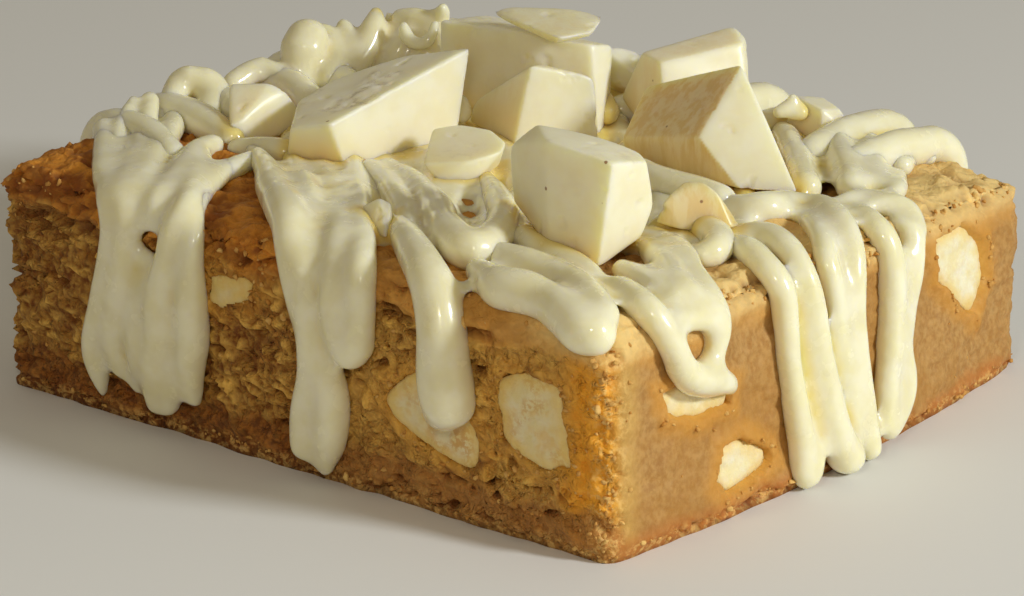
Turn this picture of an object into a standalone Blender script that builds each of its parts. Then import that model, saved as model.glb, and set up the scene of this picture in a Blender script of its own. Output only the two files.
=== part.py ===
"""White chocolate blondie: one cut square of cake with chocolate drizzle and chunks.

Every size in this file is in millimetres, and make_object turns it into metres.
The origin is the middle of the flat underside. -Y is the long front side, and +X is
the right side. The drizzle is one body with the cake that it sticks to. Each chunk
of chocolate is a body of its own, on the top or set in a cut side.
"""

import math
import random

import bmesh
import bpy
from mathutils import Vector, noise

MM = 0.001

# Cake
LENGTH = 84.0
WIDTH = 75.0
HEIGHT = 24.0
RISE_TO_LEFT = 1.5
DROP_TO_BACK = 1.7
TOP_ROUND = 3.4
SIDE_ROUND = 2.6
RIGHT_BULGE = 2.8
BASE_ROUND = 1.8
BASE_SNAP = 0.3
CELL = 3.1
CRUST_DEPTH = 4.5
CRUST_BULGE = 0.5
CRUST_SLOPE = 2.0
BROAD_RELIEF = 0.9
FINE_RELIEF = 0.9
SOFT_FINE_RELIEF = 0.35
BASE_RELIEF_SHARE = 0.5
TOP_LIFT = 0.3
SOFT_MARGIN = 1.0
# Cycles of the relief in a millimetre: broad swells, then crumbs, then flat layers.
BROAD_PITCH = 0.11
CRUMB_PITCH = 0.33
LAYER_PITCH = 0.62

# Drizzle
ROUTE_STEP = 2.3
LIFT_ON_TOP = 0.4
LIFT_ON_SIDE = 0.7
SKIN_CELL = 0.7
THINNING = 0.066
BED_RADIUS = 2.1
BED_PITCH = 6.0
BED_STROKES = 8
BED_STEP = 9.0
BED_MARGIN = 6.0
BED_SWAY = 0.8
STROKE_ANGLE = math.radians(-52.0)
FLOOR_CLEARANCE = 0.5
SINK = 0.9
WELD = 0.00002

# Chunks
GAP = 0.35
SHARPEST = 0.35
POCKET_REACH = 4.0
SEED = 11

# A route runs over one side: each point is the place along that side, then the way in
# from its top edge (positive) or down from it (negative), then the strand's radius.
FRONT_STRANDS = {
    "a_outer": [(-40, 23, 1.6), (-34, 13, 1.8), (-25.5, 1, 1.6), (-23.5, -4, 1.4),
                (-24, -9, 1.6), (-25.5, -13, 1.7), (-26.2, -17.5, 1.6), (-26.5, -21, 0.8)],
    "a_second": [(-38, 21, 1.6), (-33, 14, 1.8), (-26, 4.5, 1.7), (-21.5, -2.5, 1.6),
                 (-21.5, -7, 1.6), (-22.5, -12, 1.8), (-23, -16, 1.8), (-22.5, -19, 1.2)],
    "a_cross": [(-34, 23, 1.6), (-30, 17, 1.7), (-26, 10.5, 1.6), (-21, 1.5, 1.5),
                (-19.8, -2.5, 1.3), (-20.3, -6.5, 1.1)],
    "a_long": [(-27.5, 18, 1.4), (-21, 9, 1.6), (-15.8, 0.5, 1.6), (-15.8, -4, 1.6),
               (-16.5, -9, 1.8), (-16.5, -13.5, 1.9), (-17, -18, 1.8), (-18, -22, 0.9)],
    "a_inner": [(-15, 3, 0.8), (-13.2, -2, 1.1), (-13, -5.5, 1.3), (-12.6, -9, 1.6),
                (-12.4, -13, 1.7), (-13, -16.5, 1.6), (-13.4, -19.5, 1.0)],
    "a_fill": [(-19, -9, 1.4), (-19.6, -13, 1.7), (-19.6, -17, 1.5)],
    "a_wisp": [(-21, 17, 0.5), (-19.5, 12.5, 0.8), (-17.2, 7, 0.9), (-14, 1.5, 0.8)],
    "b_spike": [(-27, 23, 0.4), (-21, 18.5, 1.0), (-13.5, 13, 1.6), (-5.5, 6, 1.9),
                (0.4, 0, 1.7), (2.2, -4, 1.4), (2.4, -8, 0.9), (2.0, -12.5, 0.5)],
    "b_second": [(-12.5, 17, 1.4), (-4, 8, 1.7), (2.5, 0, 1.6), (4, -4, 1.6),
                 (4.6, -8.5, 1.6), (4.6, -13, 1.6), (3.6, -17, 1.8), (3.4, -21, 1.6),
                 (3.2, -22.6, 1.0)],
    "b_foot": [(5, -9, 1.2), (6.5, -12.5, 1.6), (7, -16, 1.7), (6.6, -19.5, 1.6),
               (6.0, -22.3, 1.0)],
    "b_left": [(-14, 21, 1.2), (-7, 15, 1.4), (2.5, 5, 1.5), (7.4, -2, 1.6), (8, -6.5, 1.8),
               (9.4, -9.6, 1.9)],
    "b_right": [(-12, 24, 1.1), (-6, 18.5, 1.3), (3.5, 8, 1.5), (9.8, 0, 1.6),
                (11, -4, 1.7), (10.8, -8, 1.8), (9.8, -9.8, 1.6)],
    "c_curl": [(-10, 26, 1.3), (-4.5, 22, 1.6), (2.5, 16.5, 1.8), (9.5, 10.5, 2.0),
               (15.5, 7.2, 2.1), (18, 10.5, 2.1), (14.8, 16.6, 1.9), (9, 23, 1.4),
               (4, 28, 0.7)],
    "c_drip": [(-4, 20, 1.4), (5, 12.5, 1.8), (13.5, 5.5, 2.1), (19.5, 0.5, 2.3),
               (22, -3, 2.4), (22.6, -7.5, 2.6), (23, -11.4, 2.5)],
    "k_outer": [(15, 12, 1.4), (19.5, 8, 1.8), (25, 4.5, 2.2), (29.5, 3.5, 2.4),
                (34, 2, 2.5), (38, 0.2, 2.5), (40, -1.4, 2.0)],
    "k_lower": [(22.5, 3.6, 1.3), (26, 0.6, 1.7), (30, -0.2, 1.8), (34.5, -1.2, 1.5)],
    "k_upper": [(18.5, 13, 1.5), (24, 10.6, 1.8), (29, 8.6, 2.0), (34.5, 6, 2.0),
                (39, 1.6, 1.7)],
}
RIGHT_STRANDS = {
    "d_left": [(-23, 12.5, 1.2), (-25.6, 8, 1.6), (-29, 2.5, 1.7), (-29.2, -1.5, 1.6),
               (-28, -5, 1.6), (-25.6, -8, 1.3)],
    "d_second": [(-19, 13, 1.2), (-21.4, 9, 1.4), (-24.8, 3.5, 1.5), (-25.4, -0.5, 1.4),
                 (-24.6, -2.5, 1.2)],
    "d_third": [(-14.5, 13, 1.0), (-19, 7, 1.4), (-22.3, 1, 1.5), (-22.5, -2, 1.5),
                (-22.7, -5.4, 1.4), (-21.6, -8, 1.2), (-19.6, -10, 0.6)],
    "d_curl": [(-12.6, 14.6, 0.9), (-9, 14.6, 1.4), (-6.6, 12.6, 1.6), (-8, 9, 1.7),
               (-11, 8.4, 1.5), (-15, 7, 1.3), (-19, 3, 1.4), (-21, -0.5, 1.4),
               (-21.8, -3, 1.3)],
    "d_web": [(-27, -3.4, 1.2), (-26, -6, 1.5), (-23.4, -7.6, 1.4)],
    "e_outer": [(-3, 11, 1.0), (-6, 5, 1.5), (-8, 1, 1.6), (-9, -2, 1.5), (-9, -5.5, 1.6),
                (-8.2, -10, 1.7), (-8, -14, 1.8), (-7.5, -18, 2.0), (-6.8, -21, 1.8)],
    "e_loop": [(2, 12, 1.0), (-2, 4, 1.4), (-4, 0, 1.6), (-4.5, -4, 1.7), (-3.6, -8.5, 1.7),
               (-3, -12.5, 1.8), (-2.3, -17, 2.0), (-0.6, -20.6, 2.1), (1.6, -21.2, 2.0),
               (2.6, -18.6, 1.7), (1.8, -14, 1.5), (1.2, -9, 1.4), (1.2, -5, 1.4),
               (2, -2, 1.5), (3.8, 1.5, 1.5), (7.5, 6, 1.4), (12, 12, 1.1)],
    "f_left": [(14.5, 9, 1.2), (12, 3.5, 1.5), (10, -0.5, 1.6), (9, -4, 1.5),
               (8, -8.5, 1.5), (7, -12.5, 1.5), (6.4, -16.5, 1.5), (5.6, -20, 1.5)],
    "f_right": [(16.5, 6, 1.2), (15, 0.5, 1.5), (13, -2, 1.6), (11.6, -6, 1.5),
                (10.2, -10, 1.4), (9.6, -13, 1.4), (9.4, -16.5, 1.5), (7.8, -19.8, 1.5)],
    "f_wisp": [(36, 10.5, 0.4), (30, 9, 0.8), (23.5, 6.8, 1.1), (17, 3.5, 1.3)],
    "cross_blob": [(2, 14, 1.4), (5, 12.4, 1.9), (8, 10, 1.7)],
    "ridge_first": [(33, 30, 1.6), (29, 25.5, 1.9), (22.5, 19, 1.9), (14.5, 12.5, 1.7),
                    (9, 7, 1.5)],
    "ridge_second": [(33.5, 24, 1.6), (28, 18, 1.8), (20, 11, 1.7), (14, 6, 1.5)],
    "ridge_third": [(33, 19, 1.5), (27, 13, 1.7), (19.5, 7, 1.6), (15, 3, 1.4)],
}
BACK_DRIPS = [(-34, 15), (-29, 21), (-20, 12), (-14, 19), (-9, 14), (2, 22), (8, 17),
              (15, 10), (25, 20), (31, 14)]
LEFT_DRIPS = [(-21, 13), (-13, 20), (-7, 10), (3, 22), (9, 16), (16, 12), (25, 19), (31, 9)]
DRIP_START = 15.0
DRIP_SLANT = 3.0
DRIP_SWAY = 2.0
DRIP_RADIUS = 1.9
DRIP_SPREAD = 0.15
SKYLINE_LOBES = [
    [(-38.5, -14.5, 25.6, 2.0), (-39.6, -9.6, 27.4, 2.5), (-39.0, -5.4, 26.6, 2.2),
     (-33.0, -3.0, 25.2, 1.8)],
    [(-41.0, -1.0, 25.0, 1.6), (-40.0, 2.0, 26.6, 1.8), (-36.0, 5.0, 25.2, 1.6)],
    [(-40.5, 9.0, 25.0, 2.0), (-41.0, 12.6, 28.2, 2.5), (-38.0, 16.0, 27.0, 2.2),
     (-31.0, 15.0, 25.4, 1.8)],
    [(-36.0, 22.0, 25.0, 1.7), (-33.0, 26.0, 27.0, 2.1), (-28.0, 29.5, 26.4, 2.0),
     (-22.0, 30.0, 25.0, 1.6)],
    [(-40.5, -27.0, 25.4, 1.4), (-39.0, -23.5, 26.4, 1.9), (-35.0, -20.0, 25.4, 1.6)],
    [(-16.0, 33.0, 24.6, 1.7), (-10.5, 31.5, 26.2, 2.1), (-6.0, 27.0, 25.4, 1.8)],
]

# Chunks on the top: corners of each broken piece, lowest ones sunk in the drizzle.
TOP_CHUNKS = {
    "chunk_long": [(-12.1, -16.6, 30.6), (-9.3, 4.0, 35.1), (-17.2, -17.3, 29.3),
                   (-23.1, -9.3, 29.6), (-23.2, -3.8, 30.6), (-17.5, 2.9, 33.1),
                   (-11.1, -15.0, 24.8), (-8.5, 0.7, 24.8), (-9.4, -4.6, 24.8),
                   (-18.7, -16.4, 24.8), (-20.5, -1.5, 24.6)],
    "chunk_left": [(-30.2, -12.8, 31.0), (-26.5, -10.4, 31.3), (-25.9, -12.5, 29.9),
                   (-26.0, -15.7, 28.0), (-26.7, -16.7, 27.6), (-24.8, -9.1, 30.0),
                   (-24.5, -9.8, 25.6), (-25.4, -14.8, 25.0), (-29.0, -13.8, 25.0),
                   (-29.5, -8.0, 24.8), (-25.0, -5.0, 24.8)],
    "chunk_tall_slab": [(-18.6, 9.5, 35.3), (-10.9, 11.0, 35.6), (-1.0, 15.0, 34.4),
                        (-19.5, 10.9, 24.4), (-9.6, 11.6, 24.4), (1.0, 13.8, 24.4),
                        (-17.5, 19.0, 24.4), (-1.8, 19.4, 24.4), (-17.5, 17.0, 34.6),
                        (-0.6, 18.4, 33.6)],
    "chunk_plate": [(-11.9, 10.3, 37.2), (-10.9, 12.1, 37.9), (-4.4, 16.3, 37.9),
                    (-1.1, 17.7, 37.0), (0.4, 12.9, 35.9), (-1.2, 8.8, 35.6), (-8.0, 9.6, 36.3),
                    (1.6, 11.3, 36.9), (0.2, 7.7, 36.9), (-6.1, 8.6, 37.4)],
    "chunk_middle": [(-2.3, 5.8, 33.8), (2.2, 11.8, 31.9), (-3.0, 3.5, 24.6), (-12.2, 7.6, 27.3),
                     (-12.7, 7.6, 25.0), (3.0, 11.7, 24.6), (-10.5, 9.0, 24.6),
                     (-1.5, 10.6, 24.6), (-3.2, 8.6, 33.2)],
    "chunk_front": [(22.7, -23.3, 37.0), (31.4, -23.5, 36.4), (31.2, -17.4, 34.9),
                    (18.8, -19.7, 37.2), (23.8, -24.0, 25.8), (30.1, -24.1, 25.1),
                    (30.3, -17.2, 26.7), (30.6, -15.4, 29.8), (14.7, -19.4, 34.0),
                    (14.0, -17.8, 27.5), (24.5, -16.7, 36.2), (28.8, -15.4, 35.1),
                    (18.0, -17.0, 25.0), (26.5, -13.0, 24.8)],
    "chunk_flat": [(-6.9, -5.9, 28.6), (-5.0, -4.1, 29.1), (-0.6, -3.4, 29.2), (3.1, -5.0, 28.6),
                   (3.7, -6.6, 28.1), (2.0, -10.1, 27.6), (-3.0, -12.5, 27.0), (2.0, -10.0, 24.9),
                   (-0.3, -12.3, 24.8), (0.1, -2.6, 25.4), (1.5, -4.5, 25.2), (-4.4, -5.4, 25.4)],
    "chunk_back": [(6.3, 17.8, 33.0), (11.2, 26.7, 34.2), (7.5, 30.0, 34.9), (2.7, 19.2, 33.3),
                   (9.6, 29.7, 33.6), (8.2, 16.3, 24.2), (14.6, 24.4, 24.0), (-0.9, 20.0, 27.0),
                   (3.2, 19.4, 24.2), (8.0, 29.0, 24.0)],
    "chunk_peak": [(20.7, 13.3, 36.6), (7.9, 13.1, 31.8), (8.6, 7.8, 27.1), (20.1, 6.3, 29.8),
                   (25.6, 6.2, 24.9), (31.0, 9.9, 24.5), (8.9, 8.3, 24.6), (10.5, 13.4, 24.6),
                   (25.6, 14.6, 24.4), (21.0, 14.8, 32.0)],
    "chunk_wedge": [(27.9, -6.8, 29.6), (29.9, -6.0, 29.9), (31.2, -5.6, 29.0),
                    (33.2, -5.3, 25.2), (26.4, -9.8, 25.6), (27.0, -9.3, 28.0),
                    (29.5, -8.8, 24.9), (27.6, -4.8, 25.0), (33.0, -3.6, 25.0)],
    "chunk_low": [(-8.9, -9.8, 25.4), (-8.4, -7.4, 25.6), (-8.1, -6.7, 24.8), (-7.3, -8.0, 23.9),
                  (-8.5, -10.3, 23.9), (-10.0, -9.5, 24.2), (-8.4, -7.2, 23.6)],
    "chunk_shard": [(2.6, -28.6, 27.3), (4.4, -27.7, 28.4), (5.4, -27.2, 27.8),
                    (6.4, -28.3, 26.8), (7.4, -30.4, 25.2), (5.2, -29.8, 25.2),
                    (5.4, -26.4, 25.2)],
    "chunk_far_left": [(-33.6, 15.0, 25.0), (-31.6, 15.8, 33.0), (-30.4, 17.6, 31.0),
                       (-28.4, 17.0, 25.0), (-30.0, 22.6, 25.0), (-31.4, 20.4, 30.0),
                       (-35.0, 20.0, 25.0)],
    "chunk_far_middle": [(-5.6, 22.1, 32.0), (-4.1, 24.6, 31.6), (-3.1, 26.2, 30.6),
                         (-5.2, 24.3, 27.8), (-5.8, 22.5, 28.0), (-6.0, 27.0, 24.2),
                         (4.0, 27.0, 24.2), (2.0, 30.0, 28.0)],
    "chunk_far_back": [(15.4, 28.4, 24.0), (21.4, 27.2, 24.0), (24.0, 31.2, 24.0),
                       (18.4, 34.0, 24.0), (16.6, 29.0, 28.6), (21.2, 28.0, 28.0),
                       (21.8, 31.0, 27.4), (18.2, 32.4, 28.0)],
}

# Chunks set in a side: its outline on that side, as place along it and height.
SIDE_CHUNKS = {
    "inset_front_left": ("front", [(-11.0, 19.4), (-5.6, 20.6), (-3.8, 19.8), (-5.0, 17.4),
                                   (-9.2, 15.4), (-11.2, 16.2)], 6.0),
    "inset_front_mid": ("front", [(12.2, 11.0), (15.4, 14.4), (18.6, 16.0), (23.4, 13.2),
                                  (26.2, 9.6), (25.4, 5.8), (22.0, 5.8), (15.0, 8.2)], 7.0),
    "inset_front_right": ("front", [(27.3, 16.6), (31, 18.6), (36, 18.0), (37.6, 9.0),
                                    (33.4, 8.0), (28.0, 10.2)], 7.0),
    "inset_right_low": ("right", [(-22.4, 4.6), (-20.8, 8.2), (-17.0, 8.4), (-12.6, 6.0),
                                  (-12.2, 4.0), (-17.0, 2.4), (-20.4, 2.2)], 7.0),
    "inset_right_drip": ("right", [(-30.2, 16.6), (-29.0, 13.0), (-24.0, 11.4),
                                   (-18.6, 11.6), (-18.2, 14.0), (-23.4, 16.6)], 6.0),
    "inset_right_far": ("right", [(18.4, 20.0), (25.2, 20.4), (29.6, 17.2), (30.2, 12.4),
                                  (27.4, 8.0), (23.2, 10.6), (18.6, 15.0)], 7.0),
    "inset_back_near": ("back", [(24.0, 16.0), (29.0, 17.4), (32.6, 12.0), (27.6, 8.4)], 6.0),
    "inset_back_mid": ("back", [(-4.8, 9.6), (-0.4, 13.2), (0.6, 6.2), (-3.6, 4.6)], 6.0),
    "inset_back_far": ("back", [(-25.6, 17.4), (-17.6, 18.2), (-17.0, 11.0), (-23.8, 9.4)],
                       7.0),
    "inset_left_near": ("left", [(-29.4, 11.4), (-23.0, 13.0), (-21.4, 7.0), (-27.6, 5.2)],
                        6.0),
    "inset_left_far": ("left", [(16.6, 16.0), (20.6, 18.6), (24.0, 13.4), (18.8, 8.8)], 6.0),
}
INSET_TAPER = 0.72
INSET_PROUD = 0.15

SIDES = {
    "front": (Vector((1, 0, 0)), Vector((0, -1, 0)), WIDTH / 2),
    "right": (Vector((0, 1, 0)), Vector((1, 0, 0)), LENGTH / 2),
    "back": (Vector((1, 0, 0)), Vector((0, 1, 0)), WIDTH / 2),
    "left": (Vector((0, 1, 0)), Vector((-1, 0, 0)), LENGTH / 2),
}


def clear_scene():
    for item in list(bpy.data.objects):
        bpy.data.objects.remove(item, do_unlink=True)


def make_collection(name):
    group = bpy.data.collections.new(name)
    bpy.context.scene.collection.children.link(group)
    return group


def make_material(name, colour, roughness):
    material = bpy.data.materials.new(name)
    material.use_nodes = True
    shader = material.node_tree.nodes["Principled BSDF"]
    shader.inputs["Base Color"].default_value = (*colour, 1.0)
    shader.inputs["Roughness"].default_value = roughness
    shader.inputs["Metallic"].default_value = 0.0
    return material


def make_object(name, bm, group):
    """Turn a bmesh in millimetres into an object in metres."""
    bmesh.ops.scale(bm, vec=(MM, MM, MM), verts=bm.verts)
    bmesh.ops.recalc_face_normals(bm, faces=bm.faces)
    mesh = bpy.data.meshes.new(name)
    bm.to_mesh(mesh)
    bm.free()
    item = bpy.data.objects.new(name, mesh)
    group.objects.link(item)
    return item


def top_height(x, y):
    to_left = (LENGTH / 2 - x) / LENGTH
    to_back = (y + WIDTH / 2) / WIDTH
    return HEIGHT + RISE_TO_LEFT * to_left - DROP_TO_BACK * to_back


def on_side(side, along, out, height):
    tangent, normal, half = SIDES[side]
    return tangent * along + normal * (half + out) + Vector((0, 0, height))


def right_bulge(y, height):
    """How far the right side swells out, most of all low down in its middle."""
    across = max(0.0, 1.0 - (2.0 * y / WIDTH) ** 2)
    return RIGHT_BULGE * across * max(0.0, 1.0 - height / HEIGHT)


def drape(side, along, inward, lift):
    """Place on the skin of the cake, over the rounded top edge of one side."""
    edge = on_side(side, along, 0, 0)
    top = top_height(edge.x, edge.y)
    if inward >= TOP_ROUND:
        place = on_side(side, along, -inward, 0)
        return on_side(side, along, -inward, top_height(place.x, place.y) + lift)
    if inward <= -TOP_ROUND:
        height = max(top + inward, FLOOR_CLEARANCE)
        out = lift
    else:
        turn = (inward + TOP_ROUND) / (2 * TOP_ROUND) * math.pi / 2
        reach = TOP_ROUND + lift
        height = top - TOP_ROUND + reach * math.sin(turn)
        out = -TOP_ROUND + reach * math.cos(turn)
    if side == "right":
        out += right_bulge(along, height)
    return on_side(side, along, out, height)


def round_off(place, low, high, radius):
    """Move a point of a box onto the box with rounded edges."""
    core = Vector([min(max(place[i], low[i] + radius[i]), high[i] - radius[i])
                   for i in range(3)])
    away = [(place[i] - core[i]) / radius[i] for i in range(3)]
    size = math.sqrt(sum(value * value for value in away))
    if size <= 1.0:
        return place
    return Vector([core[i] + away[i] / size * radius[i] for i in range(3)])


def cake_relief(place, is_soft):
    """Height of crumbs and layers at one place on the skin of the cake."""
    broad = noise.noise(place * BROAD_PITCH + Vector((3.0, 7.0, 1.0)))
    layered = Vector((place.x * CRUMB_PITCH, place.y * CRUMB_PITCH, place.z * LAYER_PITCH))
    fine = noise.noise(layered + Vector((11.0, 5.0, 9.0)))
    return broad * BROAD_RELIEF + fine * (SOFT_FINE_RELIEF if is_soft else FINE_RELIEF)


def subdivide_box(bm, counts):
    """Cut a cube into cells along each of its three axes."""
    for axis in range(3):
        edges = [edge for edge in bm.edges
                 if abs((edge.verts[0].co - edge.verts[1].co)[axis]) > 0.5]
        bmesh.ops.subdivide_edges(bm, edges=edges, cuts=counts[axis] - 1, use_grid_fill=True)


def build_cake(group):
    bpy.ops.mesh.primitive_cube_add(size=1.0)
    cube = bpy.context.object
    bm = bmesh.new()
    bm.from_mesh(cube.data)
    bpy.data.objects.remove(cube, do_unlink=True)
    counts = [round(LENGTH / CELL), round(WIDTH / CELL), round(HEIGHT / CELL)]
    subdivide_box(bm, counts)
    low = Vector((-LENGTH / 2, -WIDTH / 2, 0.0))
    high = Vector((LENGTH / 2, WIDTH / 2, HEIGHT))
    for vert in bm.verts:
        share = vert.co + Vector((0.5, 0.5, 0.5))
        place = Vector((low.x + share.x * LENGTH, low.y + share.y * WIDTH, share.z * HEIGHT))
        on_base = share.z < 0.001
        on_top = share.z > 0.999
        edge_round = TOP_ROUND if place.z > HEIGHT / 2 else BASE_ROUND
        flat = round_off(Vector((place.x, place.y, HEIGHT / 2)), low, high,
                         (SIDE_ROUND, SIDE_ROUND, SIDE_ROUND))
        place = round_off(Vector((flat.x, flat.y, place.z)), low, high,
                          (edge_round, edge_round, edge_round))
        away = Vector((flat.x / LENGTH, flat.y / WIDTH, 0.0)).normalized()
        is_soft = flat.x > LENGTH / 2 - SOFT_MARGIN
        if is_soft:
            place.x += right_bulge(place.y, place.z)
        relief = cake_relief(place, is_soft)
        if on_base:
            place.z = 0.0
            vert.co = place + away * relief * BASE_RELIEF_SHARE
            continue
        crust = max(0.0, 1.0 - (HEIGHT - place.z) / CRUST_DEPTH)
        if on_top:
            place.z += relief + TOP_LIFT
        else:
            place += away * (relief + CRUST_BULGE * CRUST_SLOPE * crust * (1.0 - crust))
        place.z *= top_height(place.x, place.y) / HEIGHT
        vert.co = place
    base = [face for face in bm.faces if all(vert.co.z < 0.0001 for vert in face.verts)]
    base_edges = {edge for face in base for edge in face.edges
                  if all(other in base for other in edge.link_faces)}
    bmesh.ops.dissolve_edges(bm, edges=list(base_edges), use_verts=True)
    return make_object("blondie", bm, group)


def smooth_route(points):
    """Read a strand's route and radius off a smooth curve through its points."""
    padded = [points[0], *points, points[-1]]
    route = []
    for index in range(1, len(padded) - 2):
        before, start, end, after = padded[index - 1:index + 3]
        span = (Vector(end[:3]) - Vector(start[:3])).length
        steps = max(1, round(span / ROUTE_STEP))
        for step in range(steps):
            t = step / steps
            route.append(tuple(
                0.5 * (2 * start[i] + (end[i] - before[i]) * t
                       + (2 * before[i] - 5 * start[i] + 4 * end[i] - after[i]) * t * t
                       + (3 * start[i] - before[i] - 3 * end[i] + after[i]) * t * t * t)
                for i in range(4)))
    route.append(tuple(points[-1]))
    return route


def build_strand(name, points, group, sides=2):
    """One strand of drizzle: a tube along a curve, with a radius at each point."""
    route = smooth_route(points)
    curve = bpy.data.curves.new(name, "CURVE")
    curve.dimensions = "3D"
    curve.bevel_depth = MM
    curve.bevel_resolution = sides
    curve.use_fill_caps = True
    spline = curve.splines.new("POLY")
    spline.points.add(len(route) - 1)
    for point, (x, y, z, radius) in zip(spline.points, route):
        point.co = (x * MM, y * MM, max(z, radius * SINK + FLOOR_CLEARANCE) * MM, 1.0)
        point.radius = radius
    rope = bpy.data.objects.new(name + "_route", curve)
    group.objects.link(rope)
    bpy.context.view_layer.update()
    graph = bpy.context.evaluated_depsgraph_get()
    mesh = bpy.data.meshes.new_from_object(rope.evaluated_get(graph))
    bm = bmesh.new()
    bm.from_mesh(mesh)
    bmesh.ops.remove_doubles(bm, verts=bm.verts, dist=WELD)
    bmesh.ops.recalc_face_normals(bm, faces=bm.faces)
    bm.to_mesh(mesh)
    bm.free()
    strand = bpy.data.objects.new(name, mesh)
    strand.matrix_world = rope.matrix_world
    group.objects.link(strand)
    bpy.data.objects.remove(rope, do_unlink=True)
    return strand


def draped_points(side, route):
    points = []
    for along, inward, radius in route:
        share = min(max(0.5 - inward / (2 * TOP_ROUND), 0.0), 1.0)
        lift = LIFT_ON_TOP + (LIFT_ON_SIDE - LIFT_ON_TOP) * share
        place = drape(side, along, inward, lift * radius)
        points.append((*place, radius))
    return points


def drip_route(along, depth, dice):
    """A drip on a side that is out of sight: in from the top, over the edge and down."""
    sway = dice.uniform(-DRIP_SWAY, DRIP_SWAY)
    radius = DRIP_RADIUS * dice.uniform(1.0 - DRIP_SPREAD, 1.0 + DRIP_SPREAD)
    return [(along - DRIP_SLANT + sway, DRIP_START, radius * 0.8),
            (along - DRIP_SLANT / 3, DRIP_START / 2, radius),
            (along, 0.5, radius),
            (along + sway * 0.4, -depth * 0.35, radius * 0.95),
            (along + sway * 0.6, -depth * 0.75, radius),
            (along + sway * 0.5, -depth, radius * 0.6)]


def bed_routes():
    """Slanting strokes of drizzle that lie under the chunks on the top."""
    forward = Vector((math.cos(STROKE_ANGLE), math.sin(STROKE_ANGLE), 0.0))
    across = Vector((-forward.y, forward.x, 0.0))
    for index in range(BED_STROKES):
        offset = (index - (BED_STROKES - 1) / 2) * BED_PITCH
        points = []
        for step in (-3, -2, -1, 0, 1, 2, 3):
            sway = BED_SWAY * math.sin(step * 1.9 + index * 2.3)
            place = across * (offset + sway) + forward * (step * BED_STEP)
            if max(abs(place.x) - LENGTH / 2, abs(place.y) - WIDTH / 2) > -BED_MARGIN:
                continue
            height = top_height(place.x, place.y) + LIFT_ON_TOP * BED_RADIUS
            points.append((place.x, place.y, height, BED_RADIUS))
        if len(points) > 1:
            yield points


def build_drizzle(group):
    dice = random.Random(SEED)
    for name, route in FRONT_STRANDS.items():
        build_strand(name, draped_points("front", route), group)
    for name, route in RIGHT_STRANDS.items():
        build_strand(name, draped_points("right", route), group)
    for index, (along, depth) in enumerate(BACK_DRIPS):
        route = draped_points("back", drip_route(along, depth, dice))
        build_strand(f"back_drip_{index}", route, group, 1)
    for index, (along, depth) in enumerate(LEFT_DRIPS):
        route = draped_points("left", drip_route(along, depth, dice))
        build_strand(f"left_drip_{index}", route, group, 1)
    for index, points in enumerate(SKYLINE_LOBES):
        build_strand(f"lobe_{index}", points, group)
    for index, points in enumerate(bed_routes()):
        build_strand(f"bed_{index}", points, group, 1)


def hull_of(points):
    """Closed solid with flat faces round a few corners."""
    bm = bmesh.new()
    for point in points:
        bm.verts.new(point)
    result = bmesh.ops.convex_hull(bm, input=bm.verts)
    loose = [item for item in result["geom_interior"] if isinstance(item, bmesh.types.BMVert)]
    bmesh.ops.delete(bm, geom=loose, context="VERTS")
    bmesh.ops.recalc_face_normals(bm, faces=bm.faces)
    return bm


def grown(bm, distance):
    """Move each corner out so that every face moves out by at least the distance."""
    bm.normal_update()
    moves = {}
    for vert in bm.verts:
        normal = vert.normal
        steepest = min(normal.dot(face.normal) for face in vert.link_faces)
        moves[vert] = normal * distance / max(steepest, SHARPEST)
    for vert, move in moves.items():
        vert.co += move
    return bm


def inset_corners(side, outline, depth, outer):
    """Corners of a chunk in a side: its outline there, and a smaller one inside."""
    middle_along = sum(point[0] for point in outline) / len(outline)
    middle_height = sum(point[1] for point in outline) / len(outline)
    corners = []
    for along, height in outline:
        bulge = right_bulge(along, height) if side == "right" else 0.0
        corners.append(on_side(side, along, outer + bulge, height))
        along = middle_along + (along - middle_along) * INSET_TAPER
        height = middle_height + (height - middle_height) * INSET_TAPER
        corners.append(on_side(side, along, -depth, height))
    return corners


def apply_boolean(target, group, operation):
    """Join or cut a body with all the meshes of one collection, then drop them."""
    change = target.modifiers.new(operation.lower(), "BOOLEAN")
    change.operation = operation
    change.operand_type = "COLLECTION"
    change.collection = group
    change.solver = "MANIFOLD"
    bpy.context.view_layer.update()
    graph = bpy.context.evaluated_depsgraph_get()
    mesh = bpy.data.meshes.new_from_object(target.evaluated_get(graph))
    target.modifiers.clear()
    target.data = mesh
    for item in list(group.objects):
        bpy.data.objects.remove(item, do_unlink=True)


def thin_out(target):
    """Make the skin even, leave out what is nearly flat and keep the base flat."""
    skin = target.modifiers.new("skin", "REMESH")
    skin.mode = "VOXEL"
    skin.voxel_size = SKIN_CELL * MM
    thinner = target.modifiers.new("thinner", "DECIMATE")
    thinner.decimate_type = "COLLAPSE"
    thinner.ratio = THINNING
    bpy.context.view_layer.update()
    graph = bpy.context.evaluated_depsgraph_get()
    mesh = bpy.data.meshes.new_from_object(target.evaluated_get(graph))
    target.modifiers.clear()
    target.data = mesh
    for vert in mesh.vertices:
        if vert.co.z < BASE_SNAP * MM:
            vert.co.z = 0.0


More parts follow.
